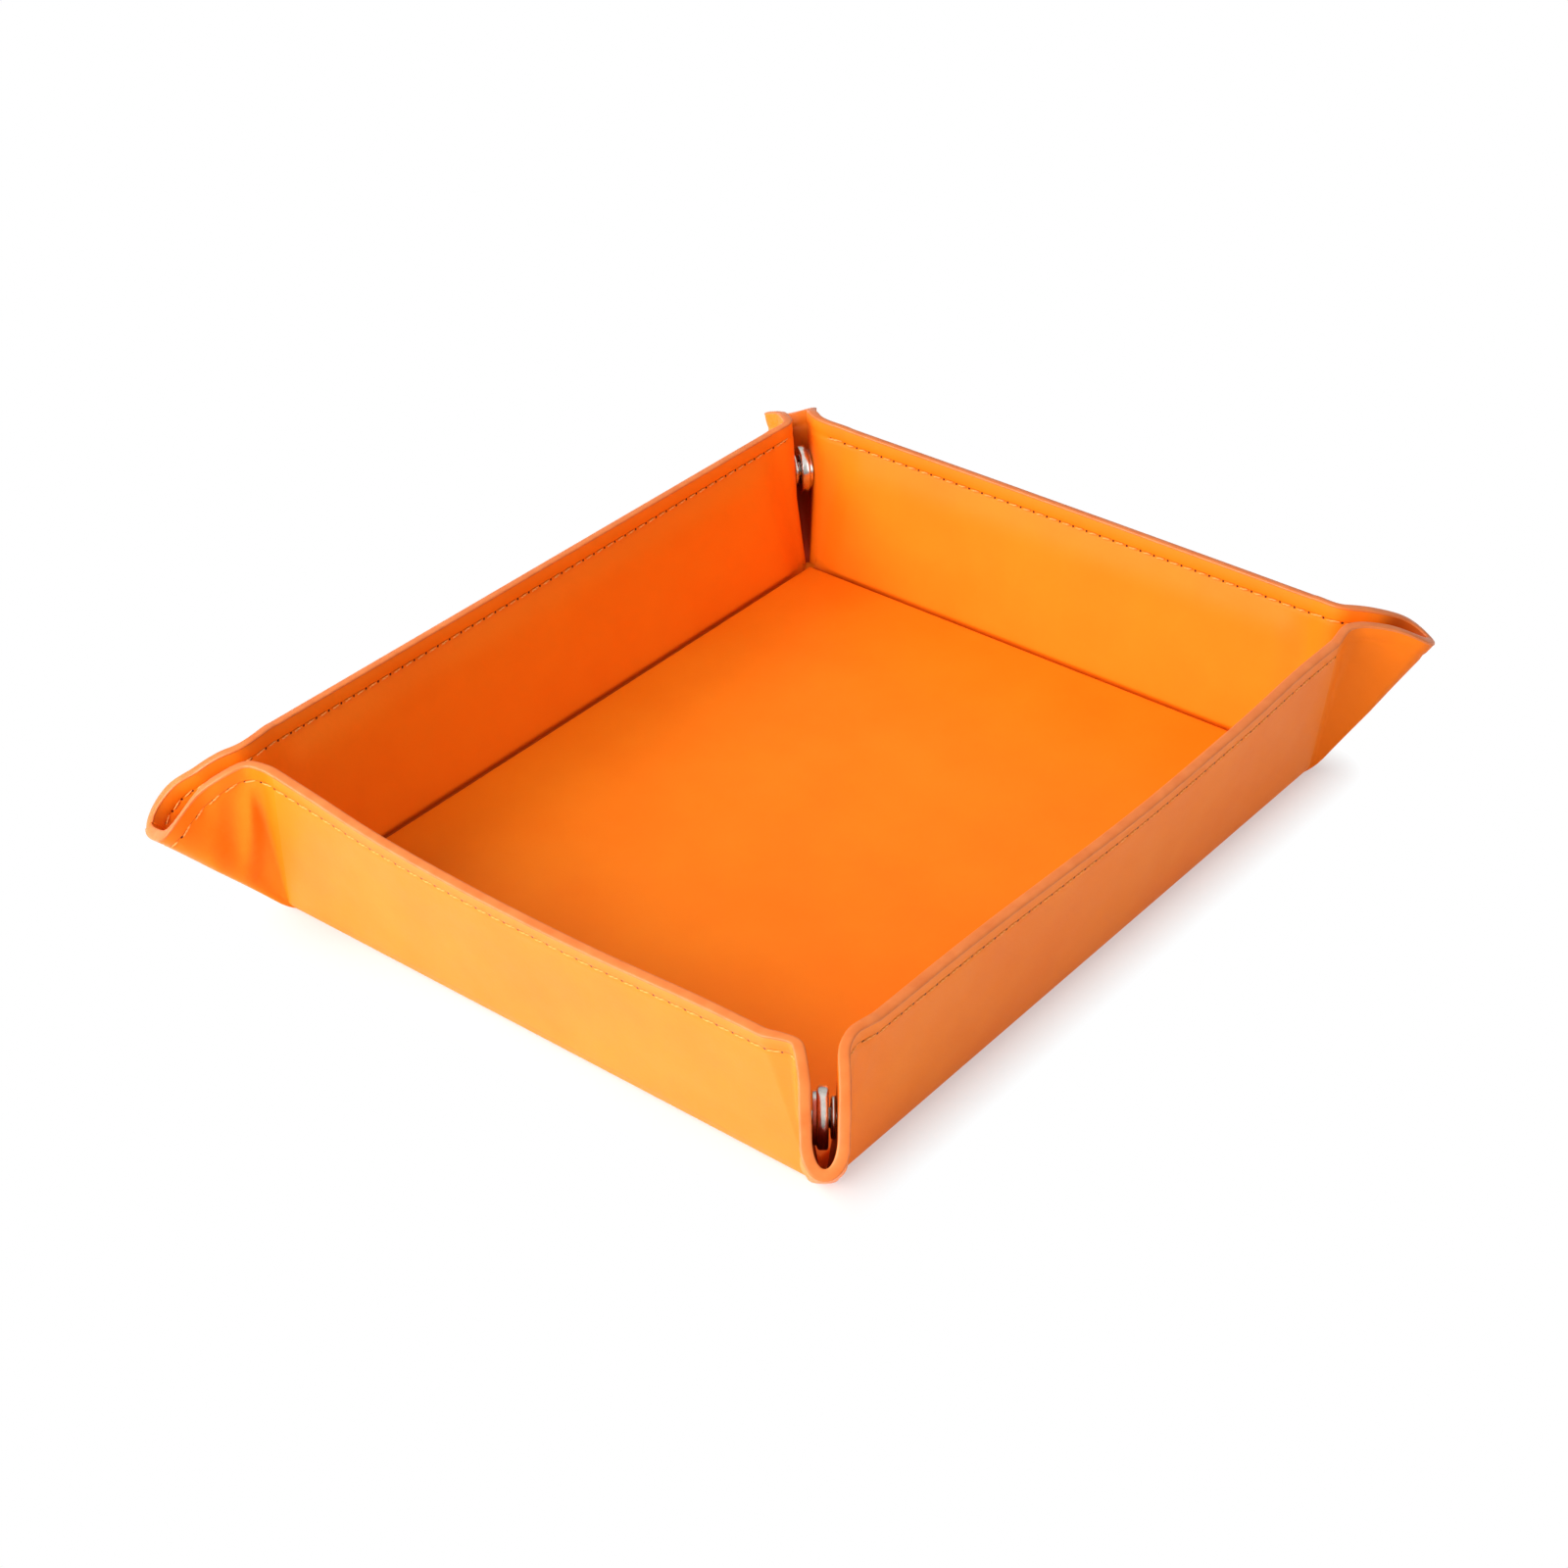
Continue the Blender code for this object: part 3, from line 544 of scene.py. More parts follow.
def board_of(wall):
    """The stiff board between the two, thinned to nothing towards its ends and its top."""
    heights = np.append(BOARD_FOOT, WALL_ROWS)
    stations = fade(wall.from_end, END_FADE) > BOARD_LEAST
    rows = fade(WALL_HEIGHT - heights, BOARD_TOP_FADE) > BOARD_LEAST
    outer = SHEET + BOARD_SLIP - wall.lift(heights)
    thickness = RIM_THICK + BOARD_LIFT * board_share(wall, heights) - 2 * (SHEET + BOARD_SLIP)
    sides = []
    for depth in (outer, outer + thickness):
        level = heights + 0 * depth
        sides.append(wall.place(on_wall_profile(level, depth), level)[stations][:, rows])
    return leather_sheet(f"{wall.name}_board_skived", *sides, sides[0][..., :2])


made, boards = {}, {}
for wall in bowed_walls.values():
    made[wall.name] = [cover_of(wall), lining_of(wall)]
    boards[wall.name] = board_of(wall)
    print(wall.name, [len(o.data.polygons) for o in made[wall.name]], wall.stitches, "stitches")

# %% [markdown]
# The half ears come next. They have no board, so the cover and the lining lie together, and the
# leather is soft enough to wrinkle. A cloth simulation could find wrinkles of its own, and they
# would differ at every change. Each is written here as a crest that runs up the ear instead: some
# fan out from the foot of the wall's end, as folds do in leather that is gathered at one point,
# and others stand nearly upright. The end of a wall's bow dies away in the ear as well.

# %% Wrinkles
# Each wrinkle: how far its crest is from the wall's end at the rim and at the foot, its half
# width and its height outward in metres, and the share of the height that it has at the rim.
# One that is 0 at the foot opens like a fan.
WRINKLES = {
    ("back_left", "short"): (
        (0.0045, 0.0120, 0.0022, 0.0019, 0.25),
        (0.0130, 0.0215, 0.0026, 0.0011, 0.3),
        (0.0255, 0, 0.0068, 0.0042, 1.0),
    ),
    ("back_left", "long"): ((0.0085, 0, 0.0025, -0.0003, 1.0),),
    ("front_right", "long"): ((0.0055, 0, 0.0022, -0.0003, 1.0),),
    ("front_left", "short"): ((0.0045, 0, 0.0015, 0.0002, 1.0),),
    ("front_left", "long"): ((0.0048, 0, 0.0015, -0.0002, 1.0),),
}
# Shares of the way to the fold and of the height between which a wrinkle grows or dies away
INSIDE_BAND, FOOT_BAND, RIM_BAND, WALL_END_BAND = (0.9, 0.55), (0.25, 0.55), (0.7, 1.0), (0, 0.03)
# How far into an ear its wall's bow ends, in metres
BOW_END = 0.0115
LONG_BOW_ENDS = {"front_left": 0.017}


def wrinkle(half, share, level):
    """How far a half ear stands out of its plain shape: its wrinkles and its wall's bow."""
    lift = 0 * level
    run = share[:, None] * half.tip * level
    for at_rim, at_foot, width, height, kept in WRINKLES.get((half.name, half.side), ()):
        crest = at_rim * level + at_foot * (1 - level)
        spread = width if at_foot else width * np.maximum(level, 0.01)
        fanned = fade(level, FOOT_BAND) * fade(share, INSIDE_BAND)[:, None]
        growth = fanned if at_foot else bow_growth(level)
        growth = growth * (1 - (1 - kept) * fade(level, RIM_BAND))
        lift = lift + height * np.exp(-(((run - crest) / spread) ** 2)) * growth
    bow_end = LONG_BOW_ENDS.get(half.name, BOW_END)
    ending = half.bow * (1 - smooth(share * half.tip / bow_end))[:, None] * bow_growth(level)
    return lift * fade(share, WALL_END_BAND)[:, None] + ending


print("wrinkles", sum(len(group) for group in WRINKLES.values()))

# %% [markdown]
# At its foot an ear's cover has to come round to the flat base, as the bottom edges of the walls
# do. It could be bevelled after it is made, but the sheet is a fan there, with all its columns
# close together. So its lowest rows are laid round an arc between the ear's own slope and the
# base, and the arc is wider toward the fold.

# %% The foot of an ear
FOOT_LEVELS = [0, 0.014, 0.028, 0.042, 0.056, 0.07, 0.085, 0.105, 0.13, 0.17, 0.21, 0.25, 0.3, 0.34]
EAR_LEVELS = np.concatenate([FOOT_LEVELS, WALL_ROWS[len(LOW_ROWS) :] / WALL_HEIGHT])
LINING_LEVELS = EAR_LEVELS[5:]
# How far the foot tucks under the base, and the radius of its arc at the fold. The slope there is
# taken between the lowest level and a step above it.
FOOT_TUCK = 0.0006
FOLD_ROUND = 0.011
LOWEST_LEVEL = 0.003
SLOPE_STEP = 0.15


def lengths(vectors):
    return np.linalg.norm(vectors, axis=-1, keepdims=True)


def round_foot(half, stations, near, far):
    """Brings the foot of an ear's cover round to the base, as the bottom edges of the walls go."""
    mix = stations[4][:, None]
    level = 0 * mix + LOWEST_LEVEL
    foot = ear_surface(half, stations, level, 0 * level)[:, 0]
    above = ear_surface(half, stations, level + SLOPE_STEP, 0 * level)[:, 0]
    way = (above - foot) / lengths(above - foot)
    inward = -(mix * half.out + (1 - mix) * half.normal)
    inward = inward / lengths(inward)
    half_angle = np.arccos((way * inward).sum(axis=-1, keepdims=True)) / 2
    bend_radius = BOTTOM_ROUND + (FOLD_ROUND - BOTTOM_ROUND) * smooth(stations[-1])[:, None]
    reach = bend_radius / np.tan(half_angle)
    centre = foot + (way + inward) / lengths(way + inward) * bend_radius / np.sin(half_angle)
    base_end = ((foot + reach * inward - centre) / bend_radius)[:, None]
    wall_end = ((foot + reach * way - centre) / bend_radius)[:, None]
    radius = lengths(near - foot[:, None])
    share = np.clip(radius / reach[:, None], 0, 1)
    sweep = (math.pi - 2 * half_angle)[:, None]
    turned = np.sin((1 - share) * sweep) * base_end + np.sin(share * sweep) * wall_end
    turned = turned / np.sin(sweep)
    bent = centre[:, None] + bend_radius[:, None] * turned
    near = np.where(share < 1, near + bent - foot[:, None] - radius * way[:, None], near)
    inner = centre[:, None] + (bend_radius[:, None] - SHEET) * turned
    far = smooth(share) * far + (1 - smooth(share)) * inner
    near[:, 0] = foot + (reach + FOOT_TUCK) * inward
    near[:, 0, 2] = 0
    far[:, 0] = near[:, 0] + SHEET * Z_AXIS
    return near, far


print("ear levels", len(EAR_LEVELS))

# %% [markdown]
# The seam runs on from the walls into the ears, all the way round one and only a few stitches
# into others. Each sheet says in a mark named sewn where that is, so that needle holes show only
# there. It could be a second map, but one number at each point is enough. Another mark says where
# shade is painted into the colour: on the linings deep in a fold and in the groove at the foot of
# the walls, where little light gets in, and on the covers of the ears a deeper tint for the sheen
# that they don't catch.

# %% The cover and the lining of each half ear
def seam_run(half, stations):
    """Metres along the seam from the wall's end, at each station."""
    level = np.full((len(stations[0]), 1), 1 - SEAM_INSET / WALL_HEIGHT)
    line = ear_surface(half, stations, level, 0 * level)[:, 0]
    steps = np.linalg.norm(np.diff(line, axis=0), axis=1)
    return np.concatenate([[0], np.cumsum(steps)])


# The share of each half ear's rim that the seam runs on into, from the wall's end. Where it is 0,
# the wall's seam is tied off at its own end.
SEWN_SHARES = {
    ("back_left", "short"): 1.0,
    ("back_left", "long"): 1.0,
    ("front_left", "short"): 0.3,
    ("front_left", "long"): 0.3,
    ("back_right", "short"): 0.2,
    ("back_right", "long"): 0.2,
    ("front_right", "short"): 0.5,
}
PAST_LAST_STITCH = 0.2
# Where shade is painted on the lining: past the neck and below the top of the ear, and toward the
# fold, most where the loop is narrow. The bands are metres along the rim, and shares of the height.
# On the covers the mark paints a deeper tint past the wall's end, where no board backs them, for
# the sheen that the ears don't catch, but one ear keeps the walls' colour.
NECK_BAND, BELOW_TOP_BAND, FOLD_BAND = (0.008, 0.013), (0.85, 0.5), (0.0145, 0.0075)
WIDE_LOOP, LOOP_RANGE, LEAST_TIGHT = 0.0078, 0.003, 0.1
DEEPER_TINT_BAND = (0, 0.003)
SAME_AS_WALLS = ("front_left",)


def ear_stitch_count(half, run):
    return int(run[-1] * SEWN_SHARES.get((half.name, half.side), 0) / STITCH_PITCH)


def ear_sheet(half, layer):
    stations = ear_stations(half)
    levels = EAR_LEVELS if layer == "cover" else LINING_LEVELS
    level = np.tile(levels, (len(stations[0]), 1))
    from_rim = (1 - level) * WALL_HEIGHT
    lift = wrinkle(half, stations[-1], level)
    dip = channel(from_rim)
    if layer == "cover":
        near_depth, far_depth = dip - lift, SHEET - lift
    else:
        near_depth, far_depth = RIM_THICK - dip - lift, RIM_THICK - SHEET - lift
    near = ear_surface(half, stations, level, near_depth)
    far = ear_surface(half, stations, level, far_depth)
    if layer == "cover":
        near, far = round_foot(half, stations, near, far)
    run = seam_run(half, stations)
    count = run / STITCH_PITCH
    sewn = ear_stitch_count(half, run)
    is_sewn = (count <= sewn + PAST_LAST_STITCH)[:, None]
    seam = np.stack([count[:, None] + 0 * level, from_rim * 1000], axis=-1)
    run_place = (stations[-1] * half.tip)[:, None]
    # Painted shade on the lining past the neck, toward the fold and in the groove; a deeper painted
    # tint on the covers
    if layer == "lining":
        shade_past_neck = fade(run_place, NECK_BAND) * fade(level, BELOW_TOP_BAND)
        tight = np.clip((WIDE_LOOP - half.fold["loop"]) / LOOP_RANGE, LEAST_TIGHT, 1)
        shade_painted = tight * fade(half.tip - run_place, FOLD_BAND)
        crease = np.maximum(np.maximum(shade_past_neck, shade_painted), in_groove(level * WALL_HEIGHT))
    else:
        crease = 0 if half.name in SAME_AS_WALLS else fade(run_place, DEEPER_TINT_BAND)
    name = f"{half.name}_ear_{layer}_{half.side}_leather"
    return leather_sheet(name, near, far, seam, sewn=is_sewn, crease=crease)


for key, half in half_of.items():
    made[key] = [ear_sheet(half, "cover"), ear_sheet(half, "lining")]
    print(*key, [len(o.data.polygons) for o in made[key]])

# %% [markdown]
# The base has a flat sheet below, and above it the floor of the tray, which lies over the base
# board and drops at its edges into the groove round the foot of the walls. A bevelled slab would
# give that drop, but the floor is also a little pillowed, so its height is a formula too: it
# depends only on the distance from the nearest edge.

# %% The cover and the lining of the base
# Distances from the base's edge: stations at the shoulder, the pillow's and the crown's reach, the
# groove's painted shade, and the corners of the two sheets. The base is out of reach of the needle
# holes.
SHOULDER = np.array([8, 6.2, 5.4, 5, 4.6, 4.3, 4, 3.7, 3.4]) / 1000
BASE_STEP = 0.003
PILLOW, PILLOW_REACH = 0.0003, 0.03
CROWN_START, CROWN_WIDTH = 0.0029, 0.0016
FLOOR_GROOVE, FLOOR_GROOVE_SOFT = 0.0046, 0.0012
CORNER_INSETS = {"cover": 0.0029, "lining": 0.0024}
UNSEWN = 30


def base_axis(half_size, flap):
    """Stations across the base, close together at the shoulder of the floor."""
    edge = half_size - np.append(SHOULDER[SHOULDER > flap + 0.0001], flap)
    straight = half_size - FIRST_STRAIGHT
    plain = np.linspace(-straight, straight, int(half_size / BASE_STEP))
    return np.concatenate([-edge[::-1], plain, edge])


def base_sheet(layer):
    flap = COVER_FLAP if layer == "cover" else LINING_FLAP
    xs, ys = base_axis(BASE_LENGTH / 2, flap), base_axis(BASE_WIDTH / 2, flap)
    x, y = np.meshgrid(xs, ys, indexing="ij")
    edge = np.minimum(BASE_LENGTH / 2 - abs(x), BASE_WIDTH / 2 - abs(y))
    near_z, far_z, crease = 0 * x, 0 * x + SHEET, 0
    if layer == "lining":
        crown = smooth((edge - CROWN_START) / CROWN_WIDTH)
        near_z = RIM_THICK + (FLOOR_TOP - RIM_THICK) * crown + PILLOW * smooth(edge / PILLOW_REACH)
        far_z = near_z - SHEET
        # Shade painted into the groove round the edge of the floor
        crease = GROOVE_SHADE * smooth((FLOOR_GROOVE - edge) / FLOOR_GROOVE_SOFT)
    for i, sx in ((0, -1), (-1, 1)):
        for j, sy in ((0, -1), (-1, 1)):
            x[i, j] = sx * (BASE_LENGTH / 2 - CORNER_INSETS[layer])
            y[i, j] = sy * (BASE_WIDTH / 2 - CORNER_INSETS[layer])
    near, far = (np.stack([x, y, z], axis=-1) for z in (near_z, far_z))
    seam = np.stack([0 * x, 0 * x + UNSEWN], axis=-1)
    return leather_sheet(f"base_{layer}_leather", near, far, seam, crease=crease)


made["base"] = [base_sheet("cover"), base_sheet("lining")]
print("base", [len(o.data.polygons) for o in made["base"]])


# %% [markdown]
# The edge of the two sheets is painted: several coats of thick paint make one smooth, slightly
# domed bead that hides the joint between cover and lining. A curve with a bevel could follow the
# rim, but its section would turn with the curve. Here a ring of points is set at every station,
# so the bead starts as a grid whose long sides are brought together and merged.

# %% Edge paint
# Points of the bead's section in millimetres: the depth from the outer face, and the height
EDGE_SECTION = np.array(
    [
        (0.04, -0.4), (-0.04, -0.25), (-0.05, -0.1), (0.0, 0.04), (0.12, 0.14), (0.4, 0.21),
        (0.8, 0.24), (1.15, 0.25), (1.5, 0.24), (1.9, 0.21), (2.18, 0.14), (2.3, 0.04),
        (2.35, -0.1), (2.34, -0.25), (2.26, -0.4), (1.15, -0.3),
    ]
) / 1000  # fmt: skip


def tube(name, rings):
    """A closed body from rings of points, an array of (ring, point, 3)."""
    count, around = rings.shape[:2]
    bm = bmesh.new()
    bmesh.ops.create_grid(bm, x_segments=count - 1, y_segments=around, size=0.5)
    bm.verts.ensure_lookup_table()
    for vert in bm.verts:
        i = round((vert.co.x + 0.5) * (count - 1))
        j = round((vert.co.y + 0.5) * around)
        vert.co = rings[i, j % around]
    bmesh.ops.remove_doubles(bm, verts=bm.verts, dist=1e-8)
    bmesh.ops.holes_fill(bm, edges=[e for e in bm.edges if e.is_boundary], sides=0)
    bmesh.ops.recalc_face_normals(bm, faces=bm.faces)
    obj = finish_mesh(name, bm)
    facing_out(obj.data)
    shade(obj.data)
    return obj


def wall_edge(wall):
    depth, above = EDGE_SECTION[:, 0], EDGE_SECTION[:, 1]
    heights = WALL_HEIGHT + above
    section = on_wall_profile(heights + 0 * wall.share[:, None], depth - wall.lift(heights))
    rows = heights[None, :] + 0 * wall.share[:, None]
    return tube(f"{wall.name}_edge_paint", wall.place(section, rows))


def ear_edge(half):
    stations = ear_stations(half)
    level = np.tile(1 + EDGE_SECTION[:, 1] / WALL_HEIGHT, (len(stations[0]), 1))
    depth = np.tile(EDGE_SECTION[:, 0], (len(stations[0]), 1)) - wrinkle(half, stations[-1], level)
    return tube(f"{half.name}_ear_edge_paint_{half.side}", ear_surface(half, stations, level, depth))


edges = {wall.name: wall_edge(wall) for wall in bowed_walls.values()}
edges.update({key: ear_edge(half) for key, half in half_of.items()})
print("edge beads", len(edges))


# %% [markdown]
# The thread. A stitch shows as a short grain of thread between two needle holes, fuller in the
# middle and drawn down at its ends. One long curve could be the whole thread, but most of it
# would lie hidden between the sheets. Hundreds of stitches are needed, so each is a small
# stretched sphere of a few dozen faces, half sunk in the channel and turned a little, as a
# lockstitch lies. Those on the inside of the walls show shorter.

# %% Stitches
STITCH_TURN = math.radians(7)
# How far a stitch stands out, as a share of the thread, how much shorter and further out it is on
# the inside of a wall, where the board's edge lifts the lining, the sides and rings of a stitch,
# and a step into the leather that gives its outward direction
STITCH_RISE_SHARE = 0.16
INSIDE_SHARE = 0.78
INSIDE_RISE = 0.0002
STITCH_SIDES = 6
DEEPER = 0.0005


def stitch_line(points, outward, count, size=STITCH_LENGTH):
    """Matrices of count stitches along a line of seam points with its outward directions."""
    steps = np.linalg.norm(np.diff(points, axis=0), axis=1)
    run = np.concatenate([[0], np.cumsum(steps)])

    def at(values, where):
        return np.array([np.interp(where, run, values[:, k]) for k in range(3)])

    places = []
    for k in range(count):
        middle = (k + 0.5) / count * run[-1]
        reach = size / 2 * run[-1] / count / STITCH_PITCH
        start, stop = at(points, middle - reach), at(points, middle + reach)
        along = unit(stop - start)
        out = unit(at(outward, middle))
        out = unit(out - along * (out @ along))
        side = np.cross(out, along)
        along, side = (
            math.cos(STITCH_TURN) * along + math.sin(STITCH_TURN) * side,
            math.cos(STITCH_TURN) * side - math.sin(STITCH_TURN) * along,
        )
        centre = at(points, middle) + out * THREAD * STITCH_RISE_SHARE
        matrix = Matrix.Identity(4)
        for column, vector in enumerate((along * reach, side * THREAD / 2, out * THREAD / 2, centre)):
            for row in range(3):
                matrix[row][column] = float(vector[row])
        places.append(matrix)
    return places


def thread_piece(name, places):
    bm = bmesh.new()
    for matrix in places:
        lengthwise = matrix @ Matrix.Rotation(math.pi / 2, 4, "Y")
        bmesh.ops.create_uvsphere(
            bm, u_segments=STITCH_SIDES, v_segments=STITCH_SIDES, radius=1, matrix=lengthwise
        )
    bmesh.ops.recalc_face_normals(bm, faces=bm.faces)
    obj = finish_mesh(name, bm)
    facing_out(obj.data)
    obj.data.shade_smooth()
    return obj


def wall_stitches(wall, side):
    height = np.full((len(wall.share), 1), WALL_HEIGHT - SEAM_INSET)
    depth = CHANNEL_DEPTH if side == "outside" else RIM_THICK - CHANNEL_DEPTH + INSIDE_RISE
    facing = wall.first.wall_normal if side == "outside" else -wall.first.wall_normal
    line = wall.place(on_wall_profile(height, depth - wall.lift(height[0])), height)[:, 0]
    outward = np.tile(facing, (len(line), 1))
    size = STITCH_LENGTH if side == "outside" else STITCH_LENGTH * INSIDE_SHARE
    places = stitch_line(line, outward, wall.stitches, size)
    return thread_piece(f"{wall.name}_stitches_{side}", places)


def ear_stitches(half, side):
    stations = ear_stations(half)
    level = np.full((len(stations[0]), 1), 1 - SEAM_INSET / WALL_HEIGHT)
    lift = wrinkle(half, stations[-1], level)
    depth = (CHANNEL_DEPTH if side == "outside" else RIM_THICK - CHANNEL_DEPTH) - lift
    line = ear_surface(half, stations, level, depth)
    deeper = ear_surface(half, stations, level, depth + DEEPER)
    outward = (line - deeper if side == "outside" else deeper - line)[:, 0]
    run = seam_run(half, stations)
    count = ear_stitch_count(half, run)
    sewn = run <= (count + 0.5) * STITCH_PITCH
    name = f"{half.name}_ear_stitches_{half.side}_{side}"
    return thread_piece(name, stitch_line(line[sewn, 0], outward[sewn], count))


threads = {}
for side in ("outside", "inside"):
    threads.update({(wall.name, side): wall_stitches(wall, side) for wall in bowed_walls.values()})
    threads.update({(*key, side): ear_stitches(half_of[key], side) for key in SEWN_SHARES})
print("stitch pieces", len(threads), "faces", sum(len(o.data.polygons) for o in threads.values()))


# %% [markdown]
# The press studs are turned brass plated with nickel. Stacked cylinders would leave hard steps,
# so each half is one section of radii and heights, spun round the stud's axis. The socket has a
# rolled rim round a dark bore, and the stud a waisted head that snaps into it. Each half is set
# square to its seat on the lining.

# %% Press studs
SPIN_STEPS = 64
STUD_SHARP = math.radians(35)


def seat_frame(half):
    centre = half.root + half.snap_reach * half.out + SNAP_HEIGHT * Z_AXIS
    centre = centre + (SEAT_GAP - RIM_THICK) * half.across
    matrix = Matrix.Identity(4)
    vectors = (half.out, np.cross(-half.across, half.out), -half.across, centre)
    for column, vector in enumerate(vectors):
        for row in range(3):
            matrix[row][column] = float(vector[row])
    return matrix


def spun(name, section, place):
    bm = bmesh.new()
    verts = [bm.verts.new((radius / 1000, 0, height / 1000)) for radius, height in section]
    outline = [bm.edges.new(pair) for pair in zip(verts, verts[1:])]
    turn = dict(axis=(0, 0, 1), cent=(0, 0, 0), angle=2 * math.pi, steps=SPIN_STEPS)
    bmesh.ops.spin(bm, geom=verts + outline, use_merge=True, **turn)
    bmesh.ops.remove_doubles(bm, verts=bm.verts, dist=1e-6)
    bmesh.ops.recalc_face_normals(bm, faces=bm.faces)
    bmesh.ops.transform(bm, matrix=place, verts=bm.verts)
    obj = finish_mesh(name, bm)
    facing_out(obj.data)
    obj.data.shade_smooth()
    obj.data.set_sharp_from_angle(angle=STUD_SHARP)
    return obj


# Radii and heights in millimetres, from the middle of the face to the middle of the back
SOCKET_SECTION = (
    (0, 0.62), (2.5, 0.62), (2.9, 0.75), (3.0, 1.2), (2.75, 2.2), (2.72, 2.8), (2.9, 3.05),
    (3.4, 3.17), (5.4, 3.17), (5.9, 3.1), (6.15, 2.95), (6.25, 2.7), (6.25, 1.5), (6.1, 1.15),
    (5.75, 0.95), (5.35, 0.8), (5.3, 0.5), (5.25, 0.15), (5.0, 0.06), (0, 0.06),
)  # fmt: skip
STUD_SECTION = (
    (0, 2.78), (1.5, 2.78), (2.1, 2.7), (2.35, 2.5), (2.4, 2.25), (2.3, 2.0), (2.08, 1.75),
    (2.0, 1.5), (2.05, 1.3), (2.3, 1.2), (2.8, 1.2), (3.6, 1.17), (4.0, 1.08), (4.2, 0.86),
    (4.26, 0.6), (4.22, 0.3), (4.1, 0.12), (3.8, 0.06), (0, 0.06),
)  # fmt: skip
studs = {}
for (name, side), half in half_of.items():
    kind, section = ("socket", SOCKET_SECTION) if side == "short" else ("stud", STUD_SECTION)
    studs[name, side] = spun(f"{name}_{kind}_turned", section, seat_frame(half))
print("press stud halves", len(studs))

# %% [markdown]
# Each piece now gets the body that it moves with, where it has one. The walls' paint, thread and
# boards ride on their wall, the press studs on their half ear and the base's sheets on the base.
# The leather of the walls and the half ears, and the ears' paint and thread, only have their
# transforms applied. The solids that the new pieces stand for are hidden.

# %% Bodies
EAR_BEND = 0.0065
# How a wall's leather turns at its crease: the direction in which the bend runs, upward from
# straight out, and the distances along it at which the bend starts and ends
COVER_BEND = (math.radians(45), -0.0023, 0.0029)
LINING_BEND = (math.radians(20), -0.00203, -0.0014)


def across_crease(wall, piece, turn, start, stop):
    """Applies a piece's transform to its mesh; it bends nothing.
    The wall, the turned direction and the two distances are not used.
    """
    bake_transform(piece)


for wall in bowed_walls.values():
    cover, lining = made[wall.name]
    across_crease(wall, cover, *COVER_BEND)
    across_crease(wall, lining, *LINING_BEND)
    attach(edges[wall.name], wall.name)
    for side in ("outside", "inside"):
        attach(threads[wall.name, side], wall.name)
    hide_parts(f"{wall.name}_cover")
    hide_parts(f"{wall.name}_lining")
    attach(boards[wall.name], wall.name)
    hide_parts(f"{wall.name}_board")

wall_at = {(end, WALLS[name][1]): name for name in WALLS for end in WALLS[name][2]}
for key, half in half_of.items():
    name, side = key
    away = -math.cos(SLANT) * half.along + math.sin(SLANT) * half.up_slant
    bodies = (wall_at[key], f"{name}_{side}_half")
    ends = dict(start=Vector(half.apex), end=Vector(half.apex + EAR_BEND * away))
    sewn = [threads[name, side, face] for face in ("outside", "inside") if key in SEWN_SHARES]
    for piece in (*made[key], edges[key], *sewn):
        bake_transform(piece)
    cover, lining = made[key]
    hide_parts(f"{name}_ear_cover_{side}_half")
    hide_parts(f"{name}_ear_lining_{side}_half")
    kind = "socket" if side == "short" else "stud"
    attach(studs[key], bodies[1])
    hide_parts(f"{name}_{kind}")

for piece, node in zip(made["base"], ("base_cover", "base_lining")):
    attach(piece, "base")
    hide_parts(node)


# %% [markdown]
# Materials are small node trees. They could be drawn by hand in the shader editor, but written
# out they can be shared by the three leathers. One function turns an sRGB colour into the linear
# numbers that the shader works with, one fills a node's sockets and one adds a node. Patterns
# repeat once in each unit of their scale, so a scale is worked out from a size in millimetres.

# %% Helpers for materials
def linear(code):
    channels = [int(code[k : k + 2], 16) / 255 for k in (1, 3, 5)]
    return (*(c / 12.92 if c <= 0.04045 else ((c + 0.055) / 1.055) ** 2.4 for c in channels), 1.0)


def connect(target, *values, **named):
    """Fills a node's open sockets in their order, or by name with _ for a space. A value is a
    number, a colour, a socket to link, or a node, whose first open output is then linked."""
    sockets = [socket for socket in target.inputs if socket.enabled]
    pairs = list(zip(sockets, values))
    for key, value in named.items():
        pairs.append((next(s for s in sockets if s.name == key.replace("_", " ")), value))
    for socket, value in pairs:
        if isinstance(value, bpy.types.Node):
            value = next(output for output in value.outputs if output.enabled)
        if isinstance(value, bpy.types.NodeSocket):
            target.id_data.links.new(value, socket)
        else:
            socket.default_value = value


def node(tree, kind, *values, stops=(), **named):
    """Adds a node. A word in lower case is one of its settings, a word with a capital one of its
    sockets, and stops are the places and colours of a ramp."""
    new = tree.nodes.new("ShaderNode" + kind)
    for key in [key for key in named if key[0].islower()]:
        setattr(new, key, named.pop(key))
    for k, (position, colour) in enumerate(stops):
        element = new.color_ramp.elements[k]
        element.position, element.color = position, colour
    connect(new, *values, **named)
    return new


def new_material(name):
    """A material, the function that adds a node to it, and its shader."""
    material = bpy.data.materials.new(name)
    material.use_nodes = True
    tree = material.node_tree
    return material, partial(node, tree), tree.nodes["Principled BSDF"]


def scale_for(size):
    """The scale at which a pattern repeats about once in a size in millimetres."""
    return 1000 / size


print("a pattern of 1 mm has the scale", scale_for(1))

# %% [markdown]
# The sewing marks the leather: there is a needle hole at both ends of every stitch, and along the
# upper side of the thread lies a thin line of shade. They could be cut into the mesh, but there
# are hundreds and each is half a millimetre wide. The seam map gives the distance from the
# nearest hole, so the material paints shade into the holes and along the line, and the bump dips
# at the holes.

